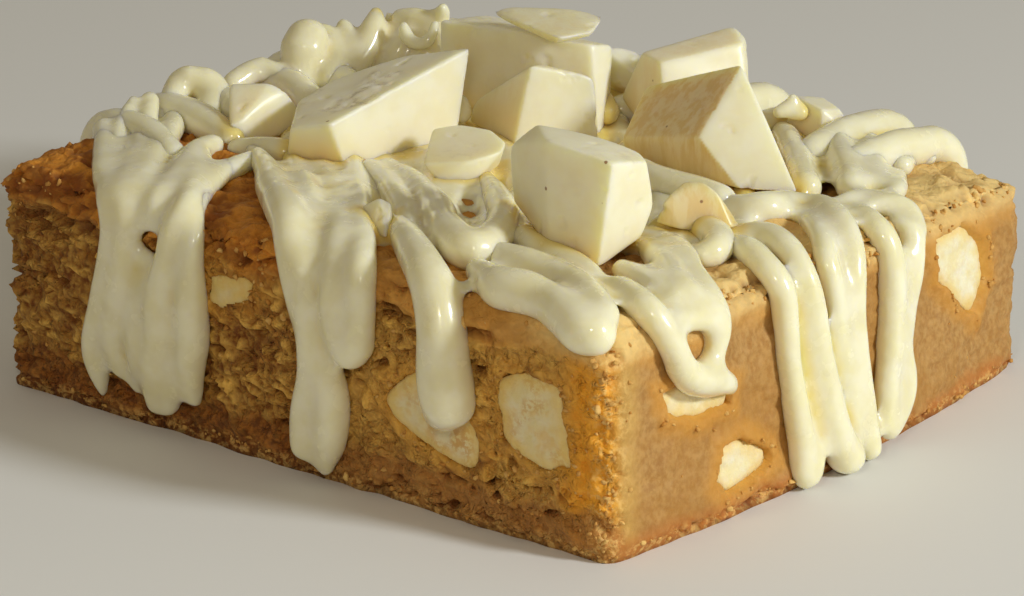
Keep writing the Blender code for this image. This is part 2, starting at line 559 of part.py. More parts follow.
def keep_largest(target):
    """Drop loose scraps that the cuts leave."""
    bm = bmesh.new()
    bm.from_mesh(target.data)
    unseen = set(bm.verts)
    islands = []
    while unseen:
        stack = [unseen.pop()]
        island = set(stack)
        while stack:
            for edge in stack.pop().link_edges:
                for vert in edge.verts:
                    if vert in unseen:
                        unseen.discard(vert)
                        island.add(vert)
                        stack.append(vert)
        islands.append(island)
    largest = max(islands, key=len)
    scraps = [vert for vert in bm.verts if vert not in largest]
    bmesh.ops.delete(bm, geom=scraps, context="VERTS")
    bm.to_mesh(target.data)
    bm.free()


def build():
    clear_scene()
    parts = make_collection("white_chocolate_blondie")
    pockets = make_collection("pockets")
    drizzle = make_collection("drizzle")
    cutters = make_collection("cutters")
    cake = build_cake(parts)
    cake.data.materials.append(make_material("baked_crumb", (0.42, 0.22, 0.07), 0.85))
    chocolate = (0.80, 0.70, 0.42)
    for name, (side, outline, depth) in SIDE_CHUNKS.items():
        bm = grown(hull_of(inset_corners(side, outline, depth, POCKET_REACH)), GAP)
        make_object(name + "_pocket", bm, pockets)
    apply_boolean(cake, pockets, "DIFFERENCE")
    build_drizzle(drizzle)
    apply_boolean(cake, drizzle, "UNION")
    thin_out(cake)
    for name, (side, outline, depth) in SIDE_CHUNKS.items():
        corners = inset_corners(side, outline, depth, INSET_PROUD)
        make_object(name + "_space", grown(hull_of(corners), GAP), cutters)
        chunk = make_object(name, hull_of(corners), parts)
        chunk.data.materials.append(make_material(name, chocolate, 0.5))
    for name, corners in TOP_CHUNKS.items():
        make_object(name + "_space", grown(hull_of(corners), GAP), cutters)
        chunk = make_object(name, hull_of(corners), parts)
        chunk.data.materials.append(make_material(name, chocolate, 0.4))
    apply_boolean(cake, cutters, "DIFFERENCE")
    keep_largest(cake)
    for group in (pockets, drizzle, cutters):
        bpy.data.collections.remove(group)


build()
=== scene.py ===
"""Looks of the white chocolate blondie: crumb, crust, drizzle, chunks, floor, light, camera.

Sizes are in millimetres up to the place where a mesh is made, which turns them into metres.
-Y is the front side, at the left in the picture, and +X is the right side.
"""

import itertools
import math
import random

import bmesh
import bpy
import numpy as np
from mathutils import Matrix, Vector, noise


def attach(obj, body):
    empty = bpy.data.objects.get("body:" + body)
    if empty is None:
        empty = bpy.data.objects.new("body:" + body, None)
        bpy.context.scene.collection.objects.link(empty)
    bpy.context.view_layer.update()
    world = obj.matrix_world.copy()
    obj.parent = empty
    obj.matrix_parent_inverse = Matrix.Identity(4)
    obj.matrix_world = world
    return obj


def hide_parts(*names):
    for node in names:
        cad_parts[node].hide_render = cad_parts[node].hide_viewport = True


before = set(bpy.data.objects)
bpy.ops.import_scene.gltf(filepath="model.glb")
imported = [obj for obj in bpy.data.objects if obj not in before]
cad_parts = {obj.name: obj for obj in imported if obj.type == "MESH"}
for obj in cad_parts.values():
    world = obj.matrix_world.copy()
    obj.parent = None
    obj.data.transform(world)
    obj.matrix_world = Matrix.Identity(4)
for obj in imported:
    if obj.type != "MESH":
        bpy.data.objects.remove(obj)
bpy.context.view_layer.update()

MM = 0.001
BODY = "root"
# Farther than any distance that a look depends on
FAR = 9.0

# Cake, with the same driving sizes as the solid
LENGTH = 84.0
WIDTH = 75.0
HEIGHT = 24.0
RISE_TO_LEFT = 1.5
DROP_TO_BACK = 1.7
TOP_ROUND = 3.4
SIDE_ROUND = 2.6
RIGHT_BULGE = 2.8
BASE_ROUND = 1.8
CRUST_BULGE = 0.5
CRUST_SLOPE = 2.0
CRUST_DEPTH = 4.5
BROAD_RELIEF = 0.9
FINE_RELIEF = 0.9
SOFT_FINE_RELIEF = 0.35
TOP_LIFT = 0.3
SOFT_MARGIN = 1.0
CAKE_CELL = 0.72
RIM_BAND = 5.0
# How often the solid's relief swells in a millimetre
BROAD_PITCH = 0.11
CRUMB_PITCH = 0.33
LAYER_PITCH = 0.62

# Relief of the crumb
PLATE_PITCH = 2.1
PLATE_STEP = 1.0
PLATE_SWELL = 0.4
GRAIN_DEPTH = 0.28
PIT_PITCH = 2.6
PIT_DEPTH = 1.7
CRACK_DEPTH = 1.2
CREVICE_DEPTH = 0.45
RECESS_DEPTH = 1.4
CRUMB_BREAKS = 6
CRUMB_COUNTS = {"crumbs_fine": 1100, "crumbs_large": 110}
CRUMB_SIZES = {"crumbs_fine": (0.2, 0.55), "crumbs_large": (0.4, 0.95)}
CRUMB_TONES = {"crumbs_fine": (0.1, 0.7), "crumbs_large": (0.3, 0.95)}

# Drizzle
ROUTE_STEP = 0.8
LIFT_ON_TOP = 0.9
LIFT_ON_SIDE = 0.7
FLOOR_CLEARANCE = 0.5
SINK = 0.9
BED_RADIUS = 1.3
BED_PITCH = 3.0
BED_STROKES = 17
BED_STEP = 9.0
BED_MARGIN = 6.0
BED_SWAY = 0.8
STROKE_ANGLE = math.radians(-52.0)
SEED = 11
DRIP_START = 15.0
DRIP_SLANT = 3.0
DRIP_SWAY = 2.0
DRIP_RADIUS = 1.9
DRIP_SPREAD = 0.15
TUBE_SIDES = 14
# How much of a drizzle's film settles for good, and how much deeper its valleys get
FILM_LOSS = 0.2
VALLEY_GAIN = 1.0
VALLEY_LIMIT = 0.35

# A strand runs over one side. Each of its points has the place along that side, then the
# way in from the top edge (positive) or down from it (negative), then the strand's radius.
# The curls stand proud of the strands, so they don't fuse with them.
FRONT_STRANDS = [
    # Left drip
    [(-39, 14.5, 1.1), (-34.5, 9, 1), (-28.5, 2.5, 0.9), (-26, -0.5, 0.7)],
    [(-35, 11.5, 1), (-25.5, 0.5, 1.3), (-23.5, -3, 1.4), (-24, -7, 1.5), (-25, -11.5, 1.6),
     (-26.5, -16.5, 1.5), (-26.5, -19.5, 1.2), (-26.5, -22.5, 0.5)],
    [(-39, 20, 1), (-31.5, 11.5, 1.2), (-23.5, 1, 1.4), (-21.5, -2.5, 1.4), (-22, -7, 1.6),
     (-22.5, -11.5, 1.7), (-23.5, -15.5, 1.6), (-23, -19, 1)],
    [(-38.5, 25.5, 1.1), (-32.5, 17, 1.2), (-26.5, 8, 1.3), (-21.5, 1, 1.3), (-21, -2, 1.2)],
    [(-27, 18.5, 1.1), (-26, 14.5, 1.3), (-22, 8, 1.3), (-18.5, 1, 1.3), (-18.5, -1.5, 1)],
    [(-24.5, 14, 1), (-20, 8, 1.3), (-15, 1.5, 1.3), (-15, -1.5, 1.4), (-15.5, -5, 1.5),
     (-16.5, -9.5, 1.8), (-16.5, -14, 1.9), (-17.5, -18, 1.7), (-18, -21.5, 1.1)],
    [(-14, 1.5, 0.7), (-12.5, -1.5, 1), (-12.5, -4.5, 1.2), (-12.5, -8.5, 1.5), (-12.5, -13, 1.6),
     (-13, -16.5, 1.4), (-13, -20, 0.7)],
    [(-19, -8.5, 1.3), (-19.5, -12.5, 1.7), (-19.5, -16.5, 1.6), (-21, -20.5, 0.7)],
    [(-15.5, -15, 1.3), (-15.5, -18.5, 1.4), (-16.5, -21.5, 1)],
    # Middle drip
    [(-27.5, 23.5, 0.4), (-23, 20.5, 0.7), (-17, 16, 1.2), (-10, 9.5, 1.7), (-2, 3, 2),
     (1, 0, 1.7), (2.5, -4, 1.3), (3, -8, 1), (3, -11.5, 0.7)],
    [(-10.5, 14.5, 1.4), (-2.5, 6.5, 1.6), (2.5, 0, 1.4), (4, -4, 1.4), (4.5, -8.5, 1.6),
     (4.5, -12.5, 1.6), (3.5, -17, 1.6), (3.5, -20.5, 1.6)],
    [(5, -8, 1.2), (6.5, -12, 1.5), (7, -15.5, 1.6), (6.5, -19.5, 1.5), (5.5, -22.5, 0.9)],
    [(-13.5, 21, 0.9), (-5.5, 14, 1.1), (4, 3.5, 1.3), (7.5, -2, 1.4), (8, -6.5, 1.6),
     (9.5, -9, 1.6)],
    [(-12, 24.5, 1), (-5, 17, 1.2), (4.5, 6.5, 1.3), (10, 0, 1.4), (11, -4, 1.4), (10.5, -8, 1.5)],
    # Curl, and the round drip by it
    [(4.5, 12.5, 1.1), (11, 6.5, 1.5), (17.5, 1.5, 1.9), (20.5, -0.5, 2.3), (22, -3.5, 2.4),
     (22.5, -7.5, 2.7), (23, -11, 2.7), (22.5, -11.5, 2.3)],
    [(11.5, 23, 0.9), (18, 17, 1.2), (23, 13.5, 1.2), (26.5, 12.5, 1), (30, 12, 0.9)],
    [(20.5, 9.5, 1.4), (24, 9, 1.6), (27.5, 9, 1.5), (31.5, 8.5, 1.3)],
    # Thick strand that turns the corner
    [(21.5, 5, 1.2), (26.5, 2, 1.8), (29.5, 2, 2), (32.5, 2, 1.9), (36, 1, 2.1), (39, 0, 2.3),
     (40, 0, 2.1)],
    [(24.5, 2.5, 1), (27, 1.5, 1.4), (30, 2, 1.4), (31.5, 3, 1)],
    [(22, 8.5, 1.3), (26, 8, 1.5), (30, 7.5, 1.6), (35, 5, 1.8), (39.5, 2, 1.6)],
    # Between the strands of the left drip
    [(-20, 0.5, 1), (-19, -1.5, 0.9)],
    [(-19, -5.5, 0.9), (-19, -8, 1), (-19, -10, 1)],
    [(-20.5, 14, 0.9), (-19, 10.5, 1), (-17, 6, 1), (-15.5, 2.5, 1)],
    # Film behind the thick strand
    [(18, 16, 1.2), (24, 13.5, 1.4), (29, 12, 1.3), (33.5, 9.5, 1.1)],
]
FRONT_CURLS = [
    # Left drip
    [(-21, 18, 0.7), (-20, 14, 0.9), (-19, 10.5, 0.7), (-17, 6.5, 0.6), (-14.5, 2.5, 0.6),
     (-13, -0.5, 0.5)],
    # Curl, and the round drip by it
    [(-9, 24, 1), (-3, 20, 1.3), (3, 15, 1.4), (9, 9, 1.3), (14, 4.5, 1.1)],
    [(-8, 25.5, 1), (-1, 21.5, 1.5), (6.5, 16, 1.7), (13.5, 10, 1.9), (18.5, 8, 2), (17, 13, 1.8),
     (13, 19.5, 1.6), (7.5, 25, 1.3), (2, 30, 0.7), (-1, 32.5, 0.4)],
]
RIGHT_STRANDS = [
    # Loop on the right side
    [(-27.5, 8.5, 0.9), (-28, 6, 1.4), (-30, 1.5, 1.5), (-29.5, -1, 1.4), (-28.5, -3.5, 1.4),
     (-27, -6, 1.3)],
    [(-22, 10.5, 1), (-23.5, 6, 1.2), (-25.5, 1.5, 1.3)],
    [(-14, 13.5, 0.9), (-18, 8.5, 1.4), (-23, 2.5, 1.5), (-23, -0.5, 1.4)],
    [(-11, 13.5, 0.9), (-14.5, 9, 1.3), (-18.5, 4.5, 1.3), (-21, 0.5, 1.3), (-21.5, -2, 1.3),
     (-22, -4.5, 1.1), (-23, -6, 1.1)],
    [(-27.5, -0.5, 1.2), (-24.5, -1, 1.3), (-21.5, -1.5, 1.2)],
    [(-28, -5, 1.3), (-26, -6.5, 1.6), (-23, -7.5, 1.5), (-20, -9, 1), (-19, -10, 0.4)],
    [(-26.5, -7, 1), (-23.5, -8.5, 0.9)],
    # Broad drip on the right side
    [(-7.5, 7, 0.9), (-9, 4, 1.3), (-10, 1, 1.3), (-10, -1.5, 1.3), (-10, -5.5, 1.2),
     (-10, -9, 1.2), (-9.5, -13.5, 1.3), (-9, -17, 1.3), (-9, -21, 1.1)],
    [(-3.5, 8.5, 1), (-3.5, 5.5, 1.3), (-5, 2, 1.3), (-6, -1, 1.3), (-5.5, -5, 1.3), (-5, -9, 1.4),
     (-4.5, -13.5, 1.6), (-4, -17.5, 1.8), (-2, -21.5, 1.8)],
    [(6.5, 8.5, 0.7), (2, 3, 1), (-1, -0.5, 1), (-1, -5, 1), (-1, -9.5, 1.1), (0, -14.5, 1.1),
     (0.5, -19, 1.2)],
    [(9, 10, 1), (8.5, 7, 1.3), (5.5, 3, 1.4), (3.5, 0, 1.3), (2, -3.5, 1.2), (1.5, -7.5, 1.2),
     (1.5, -12, 1.3), (2, -16.5, 1.3), (2.5, -21.5, 1.3)],
    [(-8, -18, 1.2), (-7.5, -20.5, 1.3), (-8.5, -22.5, 0.9)],
    # Last drip on the right side
    [(10.5, 3.5, 1), (9, 0.5, 1.3), (9, -1.5, 1.4), (9, -5, 1.4), (8.5, -9.5, 1.3),
     (7.5, -13.5, 1.3), (6.5, -17.5, 1.3), (6, -20, 1.2)],
    [(13.5, 0.5, 0.7), (14, -0.5, 1.1), (13.5, -2.5, 1.1), (12, -6, 1.3), (10.5, -10, 1.2),
     (9.5, -13, 1.3), (10, -16, 1.3), (9, -18.5, 1.3), (7, -21, 1)],
    # Webs between strands, and the loops above them
    [(-7, -2.5, 0.5), (-7, -6.5, 0.6), (-6.5, -11, 0.7), (-6.5, -15, 0.8), (-5.5, -19, 1)],
    [(11.5, -3, 0.8), (10.5, -7.5, 0.9), (9.5, -11.5, 1), (9, -15.5, 0.9)],
    [(13.5, 4, 1), (15.5, 2.5, 1.1), (16, 1, 1), (15, -1, 1)],
    [(11.5, 6.5, 1.1), (14, 6, 1.1), (16.5, 4.5, 1), (20, 5.5, 1), (25, 8.5, 0.7)],
    # On the top
    [(2, 15, 1.2), (2, 12.5, 1.5), (3.5, 10.5, 1.7), (7.5, 11, 1.3)],
    [(32.5, 30.5, 0.7), (26.5, 24.5, 1.4), (19.5, 18, 1.6), (12.5, 12, 1.5)],
    [(35, 27.5, 1.3), (30.5, 21.5, 1.7), (23, 14.5, 1.8), (16, 8.5, 1.5)],
    [(35, 21.5, 0.6), (32.5, 18, 1.3), (26.5, 13, 1.4), (19, 7.5, 1.2)],
]
RIGHT_CURLS = [
    # Loop on the right side
    [(-11, 16, 0.3), (-8.5, 16, 0.9), (-6.5, 14.5, 1.1), (-6.5, 12, 1.3), (-8, 9, 1.5),
     (-10.5, 7, 1.4), (-12.5, 7, 1), (-11.5, 9, 0.7)],
    # Last drip on the right side
    [(33.5, 10, 0.6), (31.5, 11, 0.7), (28, 10, 0.9)],
]
# Drips out of sight: places along the side and depths
BACK_DRIPS = [(-34, 15), (-29, 21), (-20, 12), (-14, 19), (-9, 14), (2, 22), (8, 17),
              (15, 10), (25, 20), (31, 14)]
LEFT_DRIPS = [(-21, 13), (-13, 20), (-7, 10), (3, 22), (9, 16), (16, 12), (25, 19), (31, 9)]
# Lobes that stand up from the top: places in the part's frame, and radii
TOP_LOBES = [
    [(-38.9, -23.4, 26.2, 1.3), (-37, -25.5, 25.8, 1.2)],
    [(-39.7, -18.1, 28.4, 0.3), (-38.4, -20.5, 27.8, 0.5), (-37.1, -23, 26.8, 0.9),
     (-34.8, -26, 25.9, 1)],
    [(-39, -16.4, 28, 0.8), (-37.1, -18.8, 27.2, 1), (-34.8, -21.9, 26.3, 1.1),
     (-31.8, -26, 25.8, 1.2)],
    [(-38.2, -14.6, 26, 1), (-39.6, -12.1, 27, 1.2), (-40.4, -9.7, 28.2, 1.4),
     (-39.5, -9.1, 28.8, 1.4)],
    [(-39.7, -9, 28.4, 1.5), (-38.3, -8.1, 28.2, 1.8), (-37.3, -7.9, 27.4, 1.8),
     (-35.8, -9.6, 26.2, 1.7), (-34.8, -11.4, 25.4, 1.3)],
    [(-39.4, -2, 26.6, 1), (-39.1, -0.2, 27.2, 1.1), (-38.2, 1.5, 27.8, 1.1),
     (-36.6, 2, 27.4, 1.1), (-34.3, 1.9, 26.4, 1.3)],
    [(-38.3, 1.6, 28.6, 0.4), (-37.4, 1.2, 27.2, 0.8)],
    [(-35.4, 4.9, 26, 2.4), (-35.5, 5.5, 28, 2.5), (-35.5, 5.9, 29.8, 2.6),
     (-35.6, 6.4, 30.4, 2.4)],
    [(-36.1, 9.6, 31.4, 0.3), (-34.9, 10.1, 30.8, 0.5), (-33.8, 9.3, 29.6, 0.9),
     (-32.4, 8.1, 28.2, 1.2), (-32.1, 6.3, 27, 1.4)],
    [(-34.6, 11.7, 31.2, 0.7), (-33.2, 11.4, 30.2, 0.9), (-32, 10.1, 28.8, 1.2)],
    [(-32.5, 15, 32.4, 0.5), (-31.6, 13.6, 31.2, 1.4), (-31.5, 12, 29.4, 1.6),
     (-31.5, 9.4, 27.6, 1.5)],
    [(-29.7, 16, 32.2, 0.8), (-28, 16.4, 32.4, 1), (-26, 16.9, 32.4, 1), (-24.8, 17.3, 33, 0.9),
     (-24, 16.8, 34.2, 0.4)],
    [(-29.9, 15.3, 30.4, 1.1), (-27.8, 15.9, 30.4, 1.3), (-26, 16.5, 30.6, 1.2),
     (-24.7, 17.1, 31.4, 1.2)],
    [(-30, 14.5, 26.5, 2.4), (-29, 15, 28.6, 2.2), (-28, 15.6, 30.4, 1.4)],
    [(-25.5, 16, 27, 2.4), (-25.5, 16.2, 29, 2), (-25.4, 16.6, 30.8, 1.3)],
    [(-26.9, 13.3, 32.2, 0.4), (-26.5, 13.3, 31.2, 0.5), (-25.1, 13.4, 30.6, 0.5),
     (-23.9, 14, 30.9, 0.5), (-23.6, 14.5, 31.8, 0.4), (-23.7, 15.1, 32.6, 0.4)],
    [(17, 25.6, 27.4, 0.4), (17.4, 26.6, 27.6, 0.7), (17.7, 28, 27.2, 0.8)],
    [(17.8, 27.2, 28.8, 0.3), (17.9, 27.7, 28, 0.4), (18.5, 27.7, 27.2, 0.7)],
    [(-25.4, -16.7, 25, 1.1), (-23, -15.5, 25.2, 1.3), (-20.6, -14.6, 25.2, 1.3)],
    [(-2.1, 18, 27, 1.1), (-0.8, 17.4, 26, 1.2)],
    [(-12.3, 5.3, 27.6, 0.9), (-11.7, 5.2, 26.8, 0.9)],
    [(14.1, 4, 25, 1.5), (17.9, 2.5, 25, 1.6), (22.1, 2.2, 24.9, 1.7), (26.2, 2, 25, 1.6)],
    [(-36, 22, 25, 1.7), (-33, 26, 27, 2.1), (-28, 29.5, 26.4, 2), (-22, 30, 25, 1.6)],
    [(-16, 33, 24.6, 1.7), (-10.5, 31.5, 26.2, 2.1), (-6, 27, 25.4, 1.8)],
]
# Ways along and out of each side, and how far out it lies
SIDES = {
    "front": (Vector((1, 0, 0)), Vector((0, -1, 0)), WIDTH / 2),
    "right": (Vector((0, 1, 0)), Vector((1, 0, 0)), LENGTH / 2),
    "back": (Vector((1, 0, 0)), Vector((0, 1, 0)), WIDTH / 2),
    "left": (Vector((0, 1, 0)), Vector((-1, 0, 0)), LENGTH / 2),
}

# Chunks
CHUNK_CELLS = (0.14, 0.28)
CHUNK_SHARPNESS = (7.0, 18.0)
WAVE_DEPTH = 0.06
CHIP_DEPTH = 0.2
FLAKE_DEPTH = 0.3
# How rough a chunk's top is, how yellow-brown and how streaked its faces turned from +X,
# where the key light is, are, and the share of both on its other faces. The yellow-brown is
# partly a real brushed film and partly painted shade.
PLAIN_FINISH = (0.3, 0.0, 0.0, 0.0)
CHUNK_FINISHES_AND_SHADES = {
    "chunk_long": (1.0, 0.0, 0.0),
    "chunk_left": (0.3, 0.25, 0.0),
    "chunk_tall_slab": (0.3, 0.0, 0.8),
    "chunk_plate": (0.2, 0.4, 0.2),
    "chunk_middle": (0.1, 0.2, 0.1),
    "chunk_front": (0.3, 0.0, 0.0),
    "chunk_flat": (0.2, 0.0, 0.0),
    "chunk_back": (0.2, 0.35, 0.3),
    "chunk_peak": (0.1, 1.0, 0.8),
    "chunk_wedge": (0.2, 1.0, 0.4, 0.9),
    "chunk_low": (0.3, 0.5, 0.2),
}

# Painted shade: how much darker and yellower a chunk in a cut side is painted, most on the shaded
# front side
INSET_PAINTED_SHADES = {"inset_front_left": 0.5, "inset_front_mid": 0.4, "inset_front_right": 0.4}

# Floor and light, in metres, watts and linear colours
FLOOR_SIZE = 4.0
FLOOR_COLOUR = (0.8, 0.79, 0.77)
FLOOR_ROUGHNESS = 0.7
SKY_COLOUR = (1.0, 0.89, 0.68, 1.0)
SKY_STRENGTH = 0.28
LAMPS = {
    "key": {"direction": (0.88, 0.16, 0.43), "distance": 0.9, "size": 0.14, "power": 5.8,
            "colour": (0.94, 0.99, 1.0)},
    "fill": {"direction": (0.5, -0.75, 0.5), "distance": 0.32, "size": 0.03, "power": 0.11,
             "colour": (1.0, 0.94, 0.8)},
}

# Camera, as fitted to the picture
CAMERA_PLACE = (271.4, -338.88, 160.69)
CAMERA_AZIMUTH = math.radians(-38.725)
CAMERA_DROP = math.radians(19.28)
FIELD_OF_VIEW = math.radians(14.0)


# Noise and mesh helpers

def cell_hash(cells, seed):
    """A repeatable value from 0 to 1 for each cell of a lattice."""
    mixed = (cells[:, 0] * 73856093) ^ (cells[:, 1] * 19349663) ^ (cells[:, 2] * 83492791)
    mixed = (mixed + seed * 374761393) & 0xFFFFFFFF
    mixed = ((mixed ^ (mixed >> 15)) * 739982445) & 0xFFFFFFFF
    mixed = ((mixed ^ (mixed >> 12)) * 695872825) & 0xFFFFFFFF
    return (mixed ^ (mixed >> 15)) / 0xFFFFFFFF


def smooth_noise(points, pitch, seed):
    """Smooth noise from -1 to 1, whose swells are about one pitch wide."""
    place = points / pitch
    low = np.floor(place).astype(np.int64)
    share = place - low
    share = share ** 3 * (share * (share * 6 - 15) + 10)
    total = np.zeros(len(points))
    for corner in itertools.product((0, 1), repeat=3):
        weight = np.prod(np.where(corner, share, 1 - share), axis=1)
        total += weight * cell_hash(low + np.array(corner), seed)
    return total * 2 - 1


def rough_noise(points, pitch, seed, octaves=3):
    """Noise of several sizes, each half as wide and half as strong as the one before."""
    total = np.zeros(len(points))
    size = 1.0
    for octave in range(octaves):
        total += size * smooth_noise(points, pitch / 2 ** octave, seed + octave)
        size *= 0.5
    return total / (2.0 - 2.0 * size)


def cell_noise(points, pitch, seed):
    """Distances to the nearest two of scattered seeds, and the nearest seed's own value."""
    place = points / pitch
    low = np.floor(place).astype(np.int64)
    first = np.full(len(points), FAR)
    second = first.copy()
    own = np.zeros(len(points))
    for step in itertools.product((-1, 0, 1), repeat=3):
        cells = low + np.array(step)
        seeds = cells + np.stack([cell_hash(cells, seed + axis) for axis in range(3)], axis=1)
        distance = np.linalg.norm(place - seeds, axis=1)
        is_nearer = distance < first
        second = np.where(is_nearer, first, np.minimum(second, distance))
        own = np.where(is_nearer, cell_hash(cells, seed + 7), own)
        first = np.where(is_nearer, distance, first)
    return first, second, own


def ramp(value, low, high):
    """Smooth step from 0 at low to 1 at high, also with low above high."""
    share = np.clip((value - low) / (high - low), 0.0, 1.0)
    return share * share * (3 - 2 * share)


def mesh_values(items, name, width, kind=float):
    """One value of every item in a mesh, a row each."""
    values = np.zeros(len(items) * width, dtype=kind)
    items.foreach_get(name, values)
    return values.reshape(-1, width)


def mesh_points(mesh):
    """Points of a mesh, in millimetres."""
    return mesh_values(mesh.vertices, "co", 3) / MM


def mesh_normals(mesh):
    return mesh_values(mesh.vertex_normals, "vector", 3)


def mesh_edges(mesh):
    return mesh_values(mesh.edges, "vertices", 2, np.int32)


def set_points(mesh, points):
    mesh.vertices.foreach_set("co", (points * MM).ravel())
    mesh.update()


def new_object(name, data):
    item = bpy.data.objects.new(name, data)
    bpy.context.scene.collection.objects.link(item)
    return item


def new_piece(name, points, faces):
    mesh = bpy.data.meshes.new(name)
    mesh.from_pydata(points * MM, [], faces)
    return new_object(name, mesh)


def add_masks(mesh, name, *channels):
    """Keep up to three masks on a mesh, for its material."""
    values = np.ones((len(mesh.vertices), 4))
    for index, channel in enumerate(channels):
        values[:, index] = channel
    layer = mesh.attributes.new(name, "FLOAT_COLOR", "POINT")
    layer.data.foreach_set("color", values.ravel())


def relax(points, edges, passes, factor=0.5):
    """Move every point towards the middle of its neighbours, over and over."""
    count = np.bincount(edges.ravel(), minlength=len(points))[:, None]
    for _ in range(passes):
        total = np.zeros_like(points)
        for axis in range(3):
            total[:, axis] = np.bincount(edges[:, 0], points[edges[:, 1], axis], len(points))
            total[:, axis] += np.bincount(edges[:, 1], points[edges[:, 0], axis], len(points))
        points = points + factor * (total / count - points)
    return points


def remeshed(piece, cell):
    """Turn overlapping closed shapes into one even skin."""
    skin = piece.modifiers.new("skin", "REMESH")
    skin.mode = "VOXEL"
    skin.voxel_size = cell * MM
    graph = bpy.context.evaluated_depsgraph_get()
    mesh = bpy.data.meshes.new_from_object(piece.evaluated_get(graph))
    piece.modifiers.clear()
    old = piece.data
    piece.data = mesh
    bpy.data.meshes.remove(old)
    mesh.name = piece.name
    return mesh


def drop_cavities(mesh):
    """Delete the closed bubbles inside a skin, whose volume is negative."""
    edges = mesh_edges(mesh)
    group = np.arange(len(mesh.vertices))
    is_settled = False
    while not is_settled:
        before = group.copy()
        lowest = np.minimum(group[edges[:, 0]], group[edges[:, 1]])
        np.minimum.at(group, edges[:, 0], lowest)
        np.minimum.at(group, edges[:, 1], lowest)
        group = group[group]
        is_settled = np.array_equal(group, before)
    mesh.calc_loop_triangles()
    corners = mesh_values(mesh.loop_triangles, "vertices", 3, np.int32)
    points = mesh_points(mesh)
    first, second, third = (points[corners[:, index]] for index in range(3))
    pieces = np.sum(first * np.cross(second, third), axis=1)
    volume = np.bincount(group[corners[:, 0]], pieces, len(group))
    is_inside = volume[group] < 0.0
    bm = bmesh.new()
    bm.from_mesh(mesh)
    bm.verts.ensure_lookup_table()
    doomed = [bm.verts[index] for index in np.flatnonzero(is_inside)]
    bmesh.ops.delete(bm, geom=doomed, context="VERTS")
    bm.to_mesh(mesh)
    bm.free()


def finish_piece(piece, material, node):
    piece.data.materials.clear()
    piece.data.materials.append(material)
    piece.data.shade_smooth()
    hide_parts(node)
    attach(piece, BODY)


# Shape of the cake

def top_height(x, y):
    to_left = (LENGTH / 2 - x) / LENGTH
    to_back = (y + WIDTH / 2) / WIDTH
    return HEIGHT + RISE_TO_LEFT * to_left - DROP_TO_BACK * to_back


def right_bulge(y, height):
    """How far the right side swells out, most of all low down in its middle."""
    across = np.maximum(0.0, 1.0 - (2.0 * y / WIDTH) ** 2)
    return RIGHT_BULGE * across * np.maximum(0.0, 1.0 - height / HEIGHT)


def round_off(points, low, high, radius):
    """Move points of a box onto the box with rounded edges."""
    radius = np.asarray(radius).reshape(-1, 1) * np.ones(3)
    core = np.clip(points, low + radius, high - radius)
    away = (points - core) / radius
    size = np.linalg.norm(away, axis=1, keepdims=True)
    return np.where(size > 1.0, core + away / np.maximum(size, 1e-6) * radius, points)


def cake_grid():
    """A box of fine cells on its sides and top rim and of coarser cells elsewhere."""
    bpy.ops.mesh.primitive_cube_add(size=1.0)
    cube = bpy.context.object
    bm = bmesh.new()
    bm.from_mesh(cube.data)
    bpy.data.objects.remove(cube, do_unlink=True)
    for axis, size in enumerate((LENGTH, WIDTH, HEIGHT)):
        edges = [edge for edge in bm.edges
                 if abs((edge.verts[0].co - edge.verts[1].co)[axis]) > 0.5]
        cuts = round(size / CAKE_CELL) - 1
        bmesh.ops.subdivide_edges(bm, edges=edges, cuts=cuts, use_grid_fill=True)
    bm.normal_update()
    fine = set()
    for face in bm.faces:
        middle = face.calc_center_median()
        to_side = min((0.5 - abs(middle.x)) * LENGTH, (0.5 - abs(middle.y)) * WIDTH)
        is_rim = face.normal.z > 0.5 and to_side < RIM_BAND
        if abs(face.normal.z) < 0.5 or is_rim:
            fine.update(face.edges)
    bmesh.ops.subdivide_edges(bm, edges=list(fine), cuts=1, use_grid_fill=True)
    return bm


def solid_relief(points, is_soft):
    """The broad relief that the solid has too."""
    swell = np.array([noise.noise(Vector(point * BROAD_PITCH) + Vector((3.0, 7.0, 1.0)))
                      for point in points])
    layered = points * np.array([CRUMB_PITCH, CRUMB_PITCH, LAYER_PITCH])
    layers = np.array([noise.noise(Vector(point) + Vector((11.0, 5.0, 9.0)))
                       for point in layered])
    return swell * BROAD_RELIEF + layers * np.where(is_soft, SOFT_FINE_RELIEF, FINE_RELIEF)


def nodes_named(start):
    """Place in the sorted list, name and node of each node whose name starts so."""
    for index, (name, node) in enumerate(sorted(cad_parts.items())):
        if name.startswith(start):
            yield index, name, node


def facets(node):
    """Normals and offsets of the flat faces of a convex node, each plane once."""
    planes = []
    for face in node.data.polygons:
        normal = np.array(face.normal)
        offset = float(np.dot(normal, np.array(face.center) / MM))
        if all(np.dot(normal, other[:3]) < 0.9995 or abs(offset - other[3]) > 0.02
               for other in planes):
            planes.append(np.array([*normal, offset]))
    planes = np.array(planes)
    return planes[:, :3], planes[:, 3]


def inset_depth(points, side):
    """Distance from points on a side to the nearest chunk set in it, negative inside, and
    how far out from each point that chunk's outer skin lies."""
    normal = np.array(SIDES[side][1])
    nearest = np.full(len(points), FAR)
    outward = np.zeros(len(points))
    for _, _, node in nodes_named("inset_" + side):
        normals, offsets = facets(node)
        along = normals @ normal
        walls = along < 0.7
        depth = np.max(points @ normals[walls].T - offsets[walls], axis=1)
        skin = (offsets[~walls] - points @ normals[~walls].T) / along[~walls]
        is_nearer = depth < nearest
        outward = np.where(is_nearer, np.min(skin, axis=1), outward)
        nearest = np.where(is_nearer, depth, nearest)
    return nearest, outward


